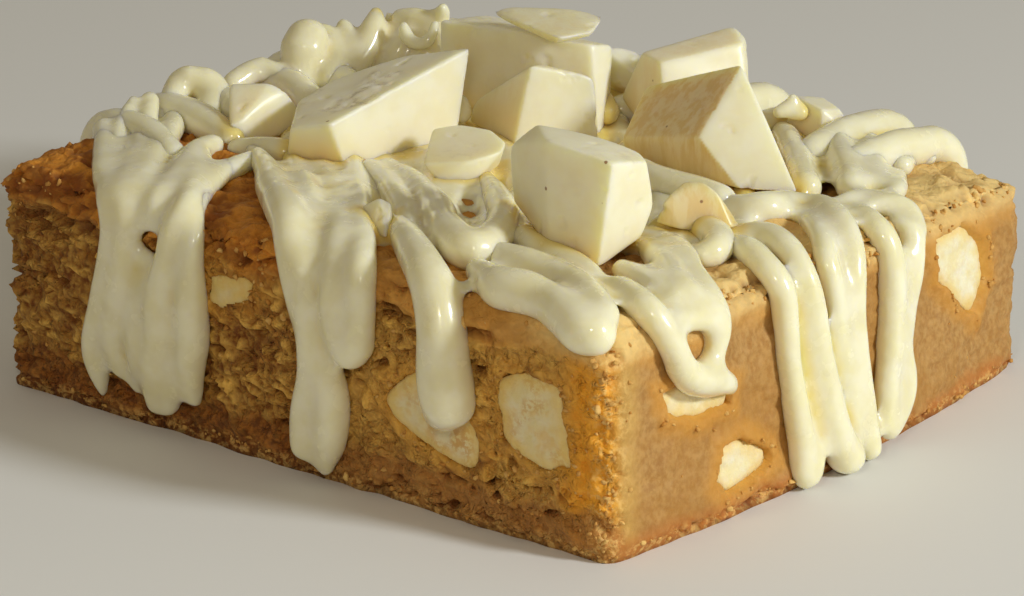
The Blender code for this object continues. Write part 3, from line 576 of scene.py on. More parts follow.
def crumb_relief(points, masks):
    """Fine relief of the cut sides: lumps, grains, pits and layered cracks."""
    bent = points + 0.7 * np.column_stack([rough_noise(points, 1.9, 5 + axis)
                                           for axis in range(3)])
    layered = bent * np.array([1.0, 1.0, 1.9])
    near, far, own = cell_noise(layered, PLATE_PITCH, 21)
    plates = (own - 0.5) * PLATE_STEP * ramp(far - near, 0.02, 0.3)
    plates += PLATE_SWELL * rough_noise(layered, 2.6, 26)
    crevice = ramp(far - near, 0.16, 0.0)
    grain = rough_noise(points, 1.0, 22)
    hole, _, size = cell_noise(layered, PIT_PITCH, 23)
    cluster = ramp(rough_noise(points, 8.0, 24), -0.5, 0.1)
    pit = ramp(hole, 0.42, 0.2) * ramp(size, 0.3, 0.55) * cluster
    flat = bent * np.array([0.22, 0.22, 1.0])
    crack = ramp(np.abs(rough_noise(flat, 2.6, 25)), 0.09, 0.0) * ramp(cluster, 0.15, 0.8)
    openness = 1.0 - 0.9 * masks["fudge"] * (1.0 - masks["ragged"])
    relief = plates * openness + grain * GRAIN_DEPTH * (0.2 + 0.8 * openness)
    # Painted shade and highlight: this mask paints raised crumb lighter and low crumb darker
    masks["height"] = ramp(plates + 0.5 * grain - 0.5 * crevice, -0.5, 0.5)
    openness = openness * (1.0 - 0.85 * masks["corner"])
    dents = pit * PIT_DEPTH + crack * CRACK_DEPTH + crevice * CREVICE_DEPTH * cluster
    relief -= dents * openness
    # Painted shade: pits, cracks and crevices also get a dark colour besides their depth
    masks["pit"] = np.clip((pit + 0.8 * crack + 0.2 * crevice) * openness, 0.0, 1.0)
    return relief


def side_masks(points, top, is_right):
    """Where the crusts, the dense right side and the ragged edges are, from 0 to 1."""
    wander = rough_noise(points, 9.0, 31)
    ragged_wander = rough_noise(points, 2.5, 32)
    below_top = top - points[:, 2]
    to_corner = np.hypot(points[:, 0] - LENGTH / 2, points[:, 1] + WIDTH / 2)
    masks = {"fudge": is_right}
    masks["top_crust"] = ramp(below_top + 1.6 * wander + 0.9 * ragged_wander, 5.0, 3.0)
    masks["top_crust"] *= 1.0 - 0.25 * is_right
    base_depth = 4.6 - 3.0 * is_right
    masks["base_crust"] = ramp(points[:, 2] + 1.4 * wander + 0.7 * ragged_wander,
                               base_depth + 1.6, base_depth - 0.8)
    edge = ramp(to_corner + 1.0 * ragged_wander, 3.2, 0.8)
    rim = ramp(below_top + ragged_wander, 3.4, 0.8) * is_right
    foot = ramp(points[:, 2] + ragged_wander, 2.2, 0.6)
    masks["ragged"] = np.clip(np.maximum.reduce([edge, rim, foot]), 0.0, 1.0)
    masks["corner"] = ramp(to_corner + 1.0 * ragged_wander, 7.0, 3.5)
    masks["warm"] = ramp(to_corner + 1.6 * wander, 8.0, 4.0) * (1.0 - is_right)
    masks["ridge"] = ramp(to_corner + 0.8 * ragged_wander, 5.0, 2.6) * is_right
    return masks


def cake_body(share, is_base, is_top):
    """Shape a unit box into the cake, with the broad forms that the solid has.

    Gives each point's place on the outline, its place on the skin and its way outward.
    """
    low = np.array([-LENGTH / 2, -WIDTH / 2, 0.0])
    high = np.array([LENGTH / 2, WIDTH / 2, HEIGHT])
    box = low + share * (high - low)
    middle = box.copy()
    middle[:, 2] = HEIGHT / 2
    outline = round_off(middle, low, high, SIDE_ROUND)
    edge_round = np.where(box[:, 2] > HEIGHT / 2, TOP_ROUND, BASE_ROUND)
    places = round_off(np.column_stack([outline[:, :2], box[:, 2]]), low, high, edge_round)
    away = np.column_stack([outline[:, 0] / LENGTH, outline[:, 1] / WIDTH, np.zeros(len(box))])
    away /= np.maximum(np.linalg.norm(away, axis=1, keepdims=True), 1e-6)
    is_soft = outline[:, 0] > LENGTH / 2 - SOFT_MARGIN
    places[:, 0] += np.where(is_soft, right_bulge(places[:, 1], places[:, 2]), 0.0)
    relief = solid_relief(places, is_soft)
    crust = np.maximum(0.0, 1.0 - (HEIGHT - places[:, 2]) / CRUST_DEPTH)
    swell = relief + CRUST_BULGE * CRUST_SLOPE * crust * (1.0 - crust)
    places += np.where(is_top | is_base, 0.0, swell)[:, None] * away
    places += np.where(is_base, relief * 0.5, 0.0)[:, None] * away
    places[:, 2] += np.where(is_top, relief + TOP_LIFT, 0.0)
    top = top_height(places[:, 0], places[:, 1])
    places[:, 2] = np.where(is_base, 0.0, places[:, 2] * top / HEIGHT)
    return outline, places, away


def build_cake(material):
    """The cake's skin; also gives its masks and each point's distance to the set-in chunks."""
    bm = cake_grid()
    piece = new_piece("cake_crumb", np.zeros((0, 3)), [])
    mesh = piece.data
    bm.to_mesh(mesh)
    bm.free()
    share = mesh_points(mesh) * MM + 0.5
    is_base = share[:, 2] < 0.001
    is_top = share[:, 2] > 0.999
    outline, places, away = cake_body(share, is_base, is_top)
    top = top_height(places[:, 0], places[:, 1])
    is_right = ramp(outline[:, 0], LENGTH / 2 - 3.2, LENGTH / 2 - 1.2)
    is_right *= ramp(outline[:, 1], 0.4 - WIDTH / 2, 2.4 - WIDTH / 2)
    masks = side_masks(places, top, is_right)
    fine = crumb_relief(places, masks)

    # The crumb is level with each set-in chunk around it, and lies back under it
    skin = np.full(len(places), FAR)
    outward = np.zeros(len(places))
    for side, (_, normal, half) in SIDES.items():
        on_side = outline @ np.array(normal) > half - 1.6
        skin[on_side], outward[on_side] = inset_depth(places[on_side], side)
    bite = rough_noise(places, 1.8, 41) * 0.6
    recess = ramp(skin + bite, -0.3, -0.9)
    flush = ramp(skin, 1.6, 0.2)
    level = np.clip(outward + 0.02 + 0.2 * rough_noise(places, 1.3, 44), -1.5, 1.5)
    fine = fine * (1.0 - flush) + level * flush - recess * RECESS_DEPTH
    masks["halo"] = ramp(skin + bite, 2.4, 0.2)

    direction = np.where(is_top[:, None], np.array([0.0, 0.0, 1.0]), away)
    amount = np.where(is_base, 0.0, fine) * np.where(is_top, 0.6, 1.0)
    near_base = ramp(places[:, 2], 0.0, 1.2)
    places += direction * (amount * np.where(is_base, 1.0, near_base))[:, None]
    set_points(mesh, places)
    masks["top_crust"] = np.where(is_top, 1.0, masks["top_crust"])
    masks["base_crust"] = np.where(is_base, 1.0, masks["base_crust"])
    pale = ramp(places[:, 0] + 4.0 * rough_noise(places, 6.0, 43), 26.0, 38.0)
    pale *= ramp(places[:, 2], top - 4.0, top - 1.5)
    light_edge = ramp(places[:, 0] + 5.0 * rough_noise(places, 7.0, 45), -6.0, 16.0)
    add_masks(mesh, "crusts", masks["top_crust"], masks["base_crust"], masks["fudge"])
    add_masks(mesh, "relief", masks["pit"], masks["ridge"], masks["ragged"])
    add_masks(mesh, "tints", masks["warm"], masks["halo"], recess)
    add_masks(mesh, "bake", pale, light_edge, masks["height"])
    finish_piece(piece, material, "blondie")
    return piece, masks, skin


# Drizzle

def on_side(side, along, out, height):
    tangent, normal, half = SIDES[side]
    return tangent * along + normal * (half + out) + Vector((0, 0, height))


def drape(side, along, inward, lift):
    """Place on the skin of the cake, over the rounded top edge of one side."""
    edge = on_side(side, along, 0, 0)
    top = top_height(edge.x, edge.y)
    if inward >= TOP_ROUND:
        place = on_side(side, along, -inward, 0)
        return on_side(side, along, -inward, top_height(place.x, place.y) + lift)
    if inward <= -TOP_ROUND:
        height = max(top + inward, FLOOR_CLEARANCE)
        out = lift
    else:
        turn = (inward + TOP_ROUND) / (2 * TOP_ROUND) * math.pi / 2
        reach = TOP_ROUND + lift
        height = top - TOP_ROUND + reach * math.sin(turn)
        out = -TOP_ROUND + reach * math.cos(turn)
    if side == "right":
        out += float(right_bulge(along, height))
    return on_side(side, along, out, height)


def smooth_route(points):
    """Read a strand's route and radius off a smooth curve through its points."""
    points = np.array(points, dtype=float)
    padded = np.vstack([points[0], points, points[-1]])
    route = []
    for before, start, end, after in zip(padded, padded[1:], padded[2:], padded[3:]):
        steps = max(1, round(np.linalg.norm(end[:3] - start[:3]) / ROUTE_STEP))
        for t in np.arange(steps) / steps:
            route.append(0.5 * (2 * start + (end - before) * t
                                + (2 * before - 5 * start + 4 * end - after) * t ** 2
                                + (3 * start - before - 3 * end + after) * t ** 3))
    route.append(points[-1])
    return np.array(route)


def cap(end, inner):
    """Ever narrower rings that round off a tube, from its end outward."""
    away = end[:3] - inner[:3]
    away /= np.linalg.norm(away)
    return [[*(end[:3] + away * end[3] * share), end[3] * math.sqrt(1 - share ** 2)]
            for share in (0.4, 0.75, 0.95)]


def tube(route):
    """Points and faces of a closed tube with round ends, from places and radii."""
    start_cap = cap(route[0], route[1])[::-1]
    rows = np.array(start_cap + route.tolist() + cap(route[-1], route[-2]))
    heading = np.gradient(rows[:, :3], axis=0)
    heading /= np.linalg.norm(heading, axis=1, keepdims=True)
    across = np.cross(heading[0], (0.31, 0.52, 0.79))
    angles = np.arange(TUBE_SIDES) / TUBE_SIDES * 2 * math.pi
    points = []
    for row, forward in zip(rows, heading):
        across = across - forward * np.dot(across, forward)
        across /= np.linalg.norm(across)
        upward = np.cross(forward, across)
        ring = np.outer(np.cos(angles), across) + np.outer(np.sin(angles), upward)
        points.append(row[:3] + ring * row[3])
    last_ring = (len(rows) - 1) * TUBE_SIDES
    faces = [tuple(range(TUBE_SIDES))[::-1]]
    for start in range(0, last_ring, TUBE_SIDES):
        for side in range(TUBE_SIDES):
            following = (side + 1) % TUBE_SIDES
            faces.append((start + side, start + following,
                          start + TUBE_SIDES + following, start + TUBE_SIDES + side))
    faces.append(tuple(range(last_ring, last_ring + TUBE_SIDES)))
    return np.vstack(points), faces


def draped_points(side, route):
    points = []
    for along, inward, radius in route:
        share = min(max(0.5 - inward / (2 * TOP_ROUND), 0.0), 1.0)
        lift = LIFT_ON_TOP + (LIFT_ON_SIDE - LIFT_ON_TOP) * share
        place = drape(side, along, inward, lift * radius)
        points.append((*place, radius))
    return points


def drip_route(along, depth, dice):
    """A drip on a side that is out of sight: in from the top, over the edge and down."""
    sway = dice.uniform(-DRIP_SWAY, DRIP_SWAY)
    radius = DRIP_RADIUS * dice.uniform(1.0 - DRIP_SPREAD, 1.0 + DRIP_SPREAD)
    return [(along - DRIP_SLANT + sway, DRIP_START, radius * 0.8),
            (along - DRIP_SLANT / 3, DRIP_START / 2, radius),
            (along, 0.5, radius),
            (along + sway * 0.4, -depth * 0.35, radius * 0.95),
            (along + sway * 0.6, -depth * 0.75, radius),
            (along + sway * 0.5, -depth, radius * 0.6)]


def bed_routes():
    """Slanting strokes of drizzle that lie under the chunks on the top."""
    forward = Vector((math.cos(STROKE_ANGLE), math.sin(STROKE_ANGLE), 0.0))
    across = Vector((-forward.y, forward.x, 0.0))
    for index in range(BED_STROKES):
        offset = (index - (BED_STROKES - 1) / 2) * BED_PITCH
        points = []
        for step in range(-3, 4):
            sway = BED_SWAY * math.sin(step * 1.9 + index * 2.3)
            place = across * (offset + sway) + forward * (step * BED_STEP)
            if max(abs(place.x) - LENGTH / 2, abs(place.y) - WIDTH / 2) > -BED_MARGIN:
                continue
            height = top_height(place.x, place.y)
            points.append((place.x, place.y, height, BED_RADIUS))
        if len(points) > 1:
            yield points


def chunk_distance(points):
    """How far points are, at least, from the nearest chunk on the top."""
    nearest = np.full(len(points), FAR)
    for _, _, node in nodes_named("chunk_"):
        normals, offsets = facets(node)
        nearest = np.minimum(nearest, np.max(points @ normals.T - offsets, axis=1))
    return nearest


def shifted(mesh, skin, edges, outward, passes):
    """Move a skin outward and smooth it, but keep it off the floor."""
    skin = relax(skin + mesh_normals(mesh) * outward[:, None], edges, passes)
    skin[:, 2] = np.maximum(skin[:, 2], 0.1)
    set_points(mesh, skin)
    return skin


def pour(name, strands, material, cell, film, passes):
    """Fuse strands of drizzle into one soft, smooth skin.

    The strands swell by the film's width before they fuse and settle back after it, which
    closes the narrow gaps between neighbours.
    """
    points = []
    faces = []
    start = 0
    for strand in strands:
        route = smooth_route(strand)
        route[:, 2] = np.maximum(route[:, 2], route[:, 3] * SINK + FLOOR_CLEARANCE)
        route[:, 3] += film
        ring_points, ring_faces = tube(route)
        points.append(ring_points)
        faces.extend(tuple(start + index for index in face) for face in ring_faces)
        start += len(ring_points)
    piece = new_piece(name, np.vstack(points), faces)
    mesh = remeshed(piece, cell)
    drop_cavities(mesh)
    edges = mesh_edges(mesh)
    skin = relax(mesh_points(mesh), edges, passes)
    set_points(mesh, skin)
    ripple = smooth_noise(skin, 7.0, 51) * 0.14 + smooth_noise(skin, 3.0, 52) * 0.05
    skin = shifted(mesh, skin, edges, ripple - film + FILM_LOSS, 3)

    # The valleys between strands get deeper, and their crests higher
    sag = relax(relax(skin, edges, 28) - skin, edges, 5)
    hollow = np.sum(sag * mesh_normals(mesh), axis=1)
    deeper = np.clip(hollow * VALLEY_GAIN, -VALLEY_LIMIT, VALLEY_LIMIT)
    skin = shifted(mesh, skin, edges, -deeper, 1)
    # Painted shade and light: yellow shade in the hollows between strands, a whiter highlight on
    # the crests and a yellow glow close to the chunks
    add_masks(mesh, "painted_crease_shade", ramp(hollow, 0.03, 0.3), ramp(-hollow, 0.05, 0.4),
              ramp(chunk_distance(skin), 1.9, 0.3))
    finish_piece(piece, material, "blondie")
    return piece


def build_drizzle(material):
    near = list(bed_routes())
    near += [draped_points("front", route) for route in FRONT_STRANDS]
    near += [draped_points("right", route) for route in RIGHT_STRANDS]
    curls = list(TOP_LOBES)
    curls += [draped_points("front", route) for route in FRONT_CURLS]
    curls += [draped_points("right", route) for route in RIGHT_CURLS]
    dice = random.Random(SEED)
    far = [draped_points(side, drip_route(along, depth, dice))
           for side, drips in (("back", BACK_DRIPS), ("left", LEFT_DRIPS))
           for along, depth in drips]
    pour("drizzle_near", near, material, cell=0.47, film=0.5, passes=12)
    pour("drizzle_curls", curls, material, cell=0.32, film=0.25, passes=7)
    pour("drizzle_far", far, material, cell=0.65, film=0.5, passes=4)


# Chunks

def carve(node, fineness, softness, seed, roughness, tan_and_shade=0.0, streak=0.0, everywhere=0.0):
    """A chunk with the node's flat faces, slightly rounded edges, chips and grain."""
    normals, offsets = facets(node)
    size = max(node.dimensions) / MM
    cell = float(np.clip(size * fineness, *CHUNK_CELLS))
    sharpness = np.clip(70.0 / size, *CHUNK_SHARPNESS) / softness
    piece = new_object(node.name + "_detail", node.data.copy())
    mesh = remeshed(piece, cell)
    points = mesh_points(mesh)
    for _ in range(4):
        steps = points @ normals.T - offsets
        peak = steps.max(axis=1, keepdims=True)
        weights = np.exp(sharpness * (steps - peak))
        total = weights.sum(axis=1, keepdims=True)
        level = peak[:, 0] + np.log(total[:, 0]) / sharpness
        slope = (weights / total) @ normals
        points -= slope * (level / np.sum(slope ** 2, axis=1))[:, None]
    ordered = np.sort(points @ normals.T - offsets, axis=1)
    edge = ramp(ordered[:, -1] - ordered[:, -2], 1.1, 0.1)
    facing = normals[np.argmax(points @ normals.T - offsets, axis=1)]
    patches = ramp(rough_noise(points, 5.0, seed + 5), -0.25, 0.2)
    is_broken = ramp(facing[:, 2], 0.5, 0.9) * roughness * patches
    # Faces turned from the key light, which get painted shade below
    is_away_from_key = np.maximum(ramp(facing[:, 0], 0.45, 0.2), everywhere)
    chips = ramp(rough_noise(points, 1.8, seed), 0.4, 0.65) * edge
    grain = rough_noise(points, 1.1, seed + 3)
    waves = smooth_noise(points, 5.0, seed + 9)
    near, far, own = cell_noise(points, 4.5, seed + 12)
    flakes = (own - 0.5) * ramp(far - near, 0.0, 0.2)
    change = waves * WAVE_DEPTH - chips * CHIP_DEPTH + grain * (0.006 + 0.2 * is_broken)
    change += flakes * FLAKE_DEPTH * is_broken
    outward = slope / np.linalg.norm(slope, axis=1, keepdims=True)
    points += outward * change[:, None]
    points = relax(points, mesh_edges(mesh), 1, 0.35)
    set_points(mesh, points)
    add_masks(mesh, "breaks", is_broken, edge)
    # Painted shade: a yellow glow low down on the chunk, more on faces turned from the key light
    above = points[:, 2] - top_height(points[:, 0], points[:, 1])
    painted_low_glow = ramp(above + 0.8 * rough_noise(points, 4.0, seed + 15), 6.0, 1.0)
    painted_low_glow *= 0.3 + 0.7 * is_away_from_key
    # Painted shade in the first and third of these masks
    add_masks(mesh, "finish", tan_and_shade * is_away_from_key, streak * is_away_from_key, painted_low_glow)
    return piece, points


def build_chunks(material):
    for index, name, node in nodes_named("chunk_"):
        finish = CHUNK_FINISHES_AND_SHADES.get(name, PLAIN_FINISH)
        piece, _ = carve(node, 0.022, 1.0, 60 + index, *finish)
        finish_piece(piece, material, name)


def build_insets(material):
    for index, name, node in nodes_named("inset_"):
        side = name.split("_")[1]
        piece, points = carve(node, 0.034, 3.0, 90 + index, 0.6)
        depth, _ = inset_depth(points, side)
        points += mesh_normals(piece.data) * (0.26 * rough_noise(points, 1.8, 97))[:, None]
        set_points(piece.data, points)
        rim = ramp(depth + rough_noise(points, 1.2, 95) * 0.6, -2.4, -0.7)
        smear = ramp(rough_noise(points, 3.0, 96 + index), -0.1, 0.45)
        # Painted shade: the share of a darker, yellower colour
        tone = np.full(len(points), INSET_PAINTED_SHADES.get(name, 0.1))
        add_masks(piece.data, "smears_and_shade", rim, smear, tone)
        finish_piece(piece, material, name)


# Crumbs

def crumb_lump(level):
    bm = bmesh.new()
    bmesh.ops.create_icosphere(bm, subdivisions=level, radius=1.0)
    points = np.array([vert.co for vert in bm.verts])
    faces = [tuple(vert.index for vert in face.verts) for face in bm.faces]
    bm.free()
    return points, faces


def scatter(name, cake, weights, material, level, seed):
    """Real crumbs that stick to the skin of the cake, all joined in one piece."""
    count = CRUMB_COUNTS[name]
    sizes = CRUMB_SIZES[name]
    tones = CRUMB_TONES[name]
    dice = np.random.default_rng(seed)
    places = mesh_points(cake.data)
    normals = mesh_normals(cake.data)
    chosen = dice.choice(len(places), size=count, replace=False, p=weights / weights.sum())
    lump, lump_faces = crumb_lump(level)
    points = []
    faces = []
    tone = []
    for index, vertex in enumerate(chosen):
        size = sizes[0] + (sizes[1] - sizes[0]) * dice.random() ** 2
        turn = Matrix.Rotation(dice.random() * 6.28, 3, Vector(dice.normal(size=3)))
        stretch = np.array([1.0, dice.uniform(0.6, 0.95), dice.uniform(0.5, 0.85)])
        shape = lump * (1.0 + 0.5 * rough_noise(lump + index * 3.7, 0.8, seed, 2))[:, None]
        for _ in range(CRUMB_BREAKS):
            face_normal = dice.normal(size=3)
            face_normal /= np.linalg.norm(face_normal)
            above = np.maximum(shape @ face_normal - dice.uniform(0.35, 0.75), 0.0)
            shape -= above[:, None] * face_normal
        shape = (shape * stretch * size) @ np.array(turn).T
        points.append(shape + places[vertex] + normals[vertex] * size * 0.05)
        faces.extend(tuple(index * len(lump) + corner for corner in face) for face in lump_faces)
        tone.append(np.full(len(lump), tones[0] + (tones[1] - tones[0]) * dice.random()))
    points = np.vstack(points)
    points[:, 2] = np.maximum(points[:, 2], 0.05)
    piece = new_piece(name, points, faces)
    add_masks(piece.data, "tone", np.concatenate(tone))
    finish_piece(piece, material, "blondie")


def build_crumbs(cake, masks, skin, material):
    places = mesh_points(cake.data)
    height = places[:, 2]
    to_corner = np.hypot(places[:, 0] - LENGTH / 2, places[:, 1] + WIDTH / 2)
    out_x = np.abs(places[:, 0]) / (LENGTH / 2)
    out_y = np.abs(places[:, 1]) / (WIDTH / 2)
    is_side = np.maximum(out_x, out_y) > 0.96
    usable = is_side & (height > 0.6)
    is_crumbly = masks["fudge"] < 0.5
    ridge = ramp(to_corner, 2.6, 0.6)
    rough = rough_noise(places, 6.0, 71)
    general = usable * (0.12 + ramp(rough, 0.0, 0.5)) * np.where(is_crumbly, 1.0, 0.08)
    general = general * ramp(skin, -0.2, 0.5) + usable * ramp(np.abs(skin), 0.7, 0.1) * 2.0
    scatter("crumbs_fine", cake, general + usable * masks["ragged"] * 1.4, material,
            level=1, seed=72)
    large = usable * (ridge * 3.0 + masks["ragged"] * 0.8 + 0.15 * is_crumbly)
    scatter("crumbs_large", cake, large * ramp(skin, 0.0, 0.8), material, level=2, seed=73)


# Materials

def linear(red, green, blue):
    """A colour as seen on screen, from 0 to 255, as the shader needs it."""
    return tuple((value / 255 / 12.92) if value <= 10 else ((value / 255 + 0.055) / 1.055) ** 2.4
                 for value in (red, green, blue))


class Look:
    """A node material: each method adds one node and gives back its output."""

    def __init__(self, name):
        self.material = bpy.data.materials.new(name)
        self.material.use_nodes = True
        self.tree = self.material.node_tree
        self.shader = self.tree.nodes["Principled BSDF"]
        self.place = self.add("TexCoord").outputs["Object"]

    def feed(self, socket, value):
        if isinstance(value, bpy.types.NodeSocket):
            self.tree.links.new(value, socket)
        elif isinstance(value, tuple) and len(value) == 3 and socket.type == "RGBA":
            socket.default_value = (*value, 1.0)
        else:
            socket.default_value = value

    def add(self, kind, **inputs):
        node = self.tree.nodes.new("ShaderNode" + kind)
        for name, value in inputs.items():
            self.feed(node.inputs[name], value)
        return node

    def masks(self, name):
        """The three masks that the mesh keeps under a name."""
        node = self.add("Attribute")
        node.attribute_name = name
        return self.add("SeparateColor", Color=node.outputs["Color"]).outputs[:]

    def noise(self, cell, detail=3.0, roughness=0.55, place=None):
        """Noise whose swells are about one cell, in millimetres, wide."""
        node = self.add("TexNoise", Vector=place or self.place, Scale=1.0 / (cell * MM),
                        Detail=detail, Roughness=roughness)
        return node.outputs["Fac"]

    def bent(self, cell, reach):
        """The place, moved about by soft noise by up to half the reach, in millimetres."""
        wander = self.add("TexNoise", Vector=self.place, Scale=1.0 / (cell * MM))
        move = self.add("VectorMath")
        move.operation = "MULTIPLY_ADD"
        steps = (wander.outputs["Color"], (reach * MM, reach * MM, reach * MM), self.place)
        for socket, value in zip(move.inputs, steps):
            self.feed(socket, value)
        return move.outputs[0]

    def cells(self, cell, feature="F1", place=None):
        """Distance to the nearest of scattered seeds, or to the border between two."""
        node = self.add("TexVoronoi", Vector=place or self.place, Scale=1.0 / (cell * MM))
        node.feature = feature
        return node.outputs["Distance"]

    def span(self, value, low, high, to_low=0.0, to_high=1.0):
        """Smooth step from one value to another while the mask goes from low to high."""
        node = self.add("MapRange")
        node.interpolation_type = "SMOOTHSTEP"
        for socket, item in zip(node.inputs, (value, low, high, to_low, to_high)):
            self.feed(socket, item)
        return node.outputs[0]

    def math(self, operation, first, second):
        """A result that is kept between 0 and 1."""
        node = self.add("Math")
        node.operation = operation
        node.use_clamp = True
        self.feed(node.inputs[0], first)
        self.feed(node.inputs[1], second)
        return node.outputs[0]

    def product(self, first, *others):
        for other in others:
            first = self.math("MULTIPLY", first, other)
        return first

    def mix(self, share, first, second):
        """Mix two colours. One that is given in figures is as seen on screen."""
        node = self.add("Mix")
        node.data_type = "RGBA"
        self.feed(node.inputs["Factor"], share)
        for socket, colour in zip(node.inputs[6:8], (first, second)):
            self.feed(socket, linear(*colour) if isinstance(colour, tuple) else colour)
        return node.outputs[2]

    def tint(self, colour, *layers):
        """Lay colours over the first one in turn, each by its mask times its share."""
        for mask, share, tone in layers:
            colour = self.mix(self.product(mask, share), colour, tone)
        return colour

    def bump(self, height, strength, depth, below=None):
        """Small relief over the relief below it, with its depth in millimetres."""
        node = self.add("Bump", Strength=strength, Distance=depth * MM, Height=height)
        if below is not None:
            self.feed(node.inputs["Normal"], below)
        return node.outputs[0]

    def finish(self, **values):
        """Set the shader's own inputs, with spaces for the underlines in their names."""
        for name, value in values.items():
            self.feed(self.shader.inputs[name.replace("_", " ")], value)
        return self.material


def cake_material():
    look = Look("baked_crumb")
    top_crust, base_crust, fudge = look.masks("crusts")
    pit, ridge, ragged = look.masks("relief")
    warm, halo, recess = look.masks("tints")
    pale, light_edge, height = look.masks("bake")
    speckle = look.noise(0.8, 3.0, 0.6)
    patch = look.noise(3.2, 3.0, 0.6)
    bent = look.bent(1.6, 1.1)
    seam = look.cells(1.5, "DISTANCE_TO_EDGE", bent)
    small_seam = look.cells(0.75, "DISTANCE_TO_EDGE", bent)
    is_open = look.product(look.math("SUBTRACT", 1.0, look.product(fudge, 0.92)),
                             look.span(patch, 0.36, 0.56, 0.3, 0.85),
                             look.span(top_crust, 0.0, 1.0, 1.0, 0.4))
    # Painted shade and highlight: the crumb goes from dark in its low parts to light on its raised
    # parts
    crumb = look.tint(
        look.mix(height, (112, 60, 8), (234, 186, 92)),
        (look.span(speckle, 0.4, 0.66), 0.5, (208, 160, 72)),
        (look.span(patch, 0.42, 0.66), 0.45, (164, 102, 26)),
        (light_edge, 0.55, (234, 186, 92)))
    broad = look.span(look.noise(14.0, 2.0), 0.4, 0.65)
    dense = look.mix(look.span(speckle, 0.3, 0.7), (160, 114, 56), (184, 142, 82))
    dense = look.tint(dense, (broad, 0.6, (168, 118, 50)))
    browned = look.mix(look.span(patch, 0.36, 0.64), (142, 76, 14), (212, 138, 44))
    browned = look.tint(
        browned, (fudge, 1.0, (204, 154, 78)), (light_edge, 0.8, (206, 150, 72)),
        (pale, 0.9, (236, 206, 138)))
    dark = look.mix(look.span(speckle, 0.36, 0.66), (106, 58, 14), (162, 98, 34))
    dark = look.tint(dark, (light_edge, 0.45, (196, 142, 78)), (fudge, 1.0, (176, 108, 44)))
    # Painted shade: the seams between crumb pieces are darkened, besides their bump
    gaps = look.product(look.span(seam, 0.11, 0.0), is_open)
    small_seam_shade = look.product(look.span(small_seam, 0.12, 0.0), is_open)
    ragged_spots = look.product(ragged, look.span(speckle, 0.45, 0.62))
    colour = look.tint(
        look.mix(fudge, crumb, dense),
        (gaps, 0.45, (124, 66, 12)),
        (small_seam_shade, 0.2, (130, 74, 16)),
        (warm, 0.72, (246, 162, 18)),
        (ridge, 0.55, (206, 164, 84)),
        (halo, 0.5, (210, 146, 50)),
        (top_crust, 0.85, browned),
        (base_crust, 0.85, dark),
        (ragged_spots, 0.6, (232, 192, 116)),
        (recess, 0.6, (226, 170, 70)),
        # Painted shade in the pits
        (pit, 0.75, (108, 54, 8)))
    relief = look.bump(look.noise(1.0, 3.0, 0.6), 0.4, 0.35)
    relief = look.bump(look.span(seam, 0.0, 0.25), is_open, 0.35, relief)
    relief = look.bump(look.span(small_seam, 0.0, 0.3), is_open, 0.15, relief)
    relief = look.bump(look.noise(0.28, 3.0, 0.7), 0.3, 0.1, relief)
    dullness = look.span(look.noise(1.4, 2.0), 0.3, 0.7, 0.62, 0.88)
    look.shader.subsurface_method = "BURLEY"
    return look.finish(
        Base_Color=colour, Roughness=dullness, Normal=relief,
        Specular_IOR_Level=0.35, Subsurface_Weight=0.35,
        Subsurface_Radius=(1.0, 0.55, 0.2), Subsurface_Scale=0.0012)


def crumb_material():
    look = Look("crumbs")
    tone, _, _ = look.masks("tone")
    speckle = look.span(look.noise(0.4, 3.0, 0.6), 0.4, 0.65)
    colour = look.tint(
        look.mix(tone, (176, 112, 34), (238, 200, 122)),
        (speckle, 0.5, (206, 146, 66)))
    relief = look.bump(look.noise(0.35, 3.0, 0.7), 0.7, 0.2)
    return look.finish(Base_Color=colour, Roughness=0.8, Normal=relief, Specular_IOR_Level=0.3)


def drizzle_material():
    look = Look("chocolate_drizzle")
    painted_crease_shade, ridge, painted_glow_near_chunk = look.masks("painted_crease_shade")
    patch = look.span(look.noise(4.0, 3.0), 0.35, 0.65)
    colour = look.tint(
        look.mix(patch, (238, 232, 203), (231, 223, 184)),
        # Painted shade in the hollows and a painted highlight on the crests
        (painted_crease_shade, 0.9, (230, 204, 92)),
        (ridge, 0.3, (244, 239, 210)),
        # Painted glow of light through the chocolate close to the chunks
        (painted_glow_near_chunk, 0.7, (238, 204, 74)))
    relief = look.bump(look.noise(1.6, 2.0), 0.05, 0.2)
    dullness = look.span(look.noise(2.5, 3.0), 0.35, 0.7, 0.16, 0.3)
    return look.finish(
        Base_Color=colour, Roughness=dullness, Normal=relief,
        Specular_IOR_Level=0.5, Coat_Weight=0.25, Coat_Roughness=0.07,
        Subsurface_Weight=0.8, Subsurface_Radius=(1.0, 0.95, 0.4),
        Subsurface_Scale=0.002)


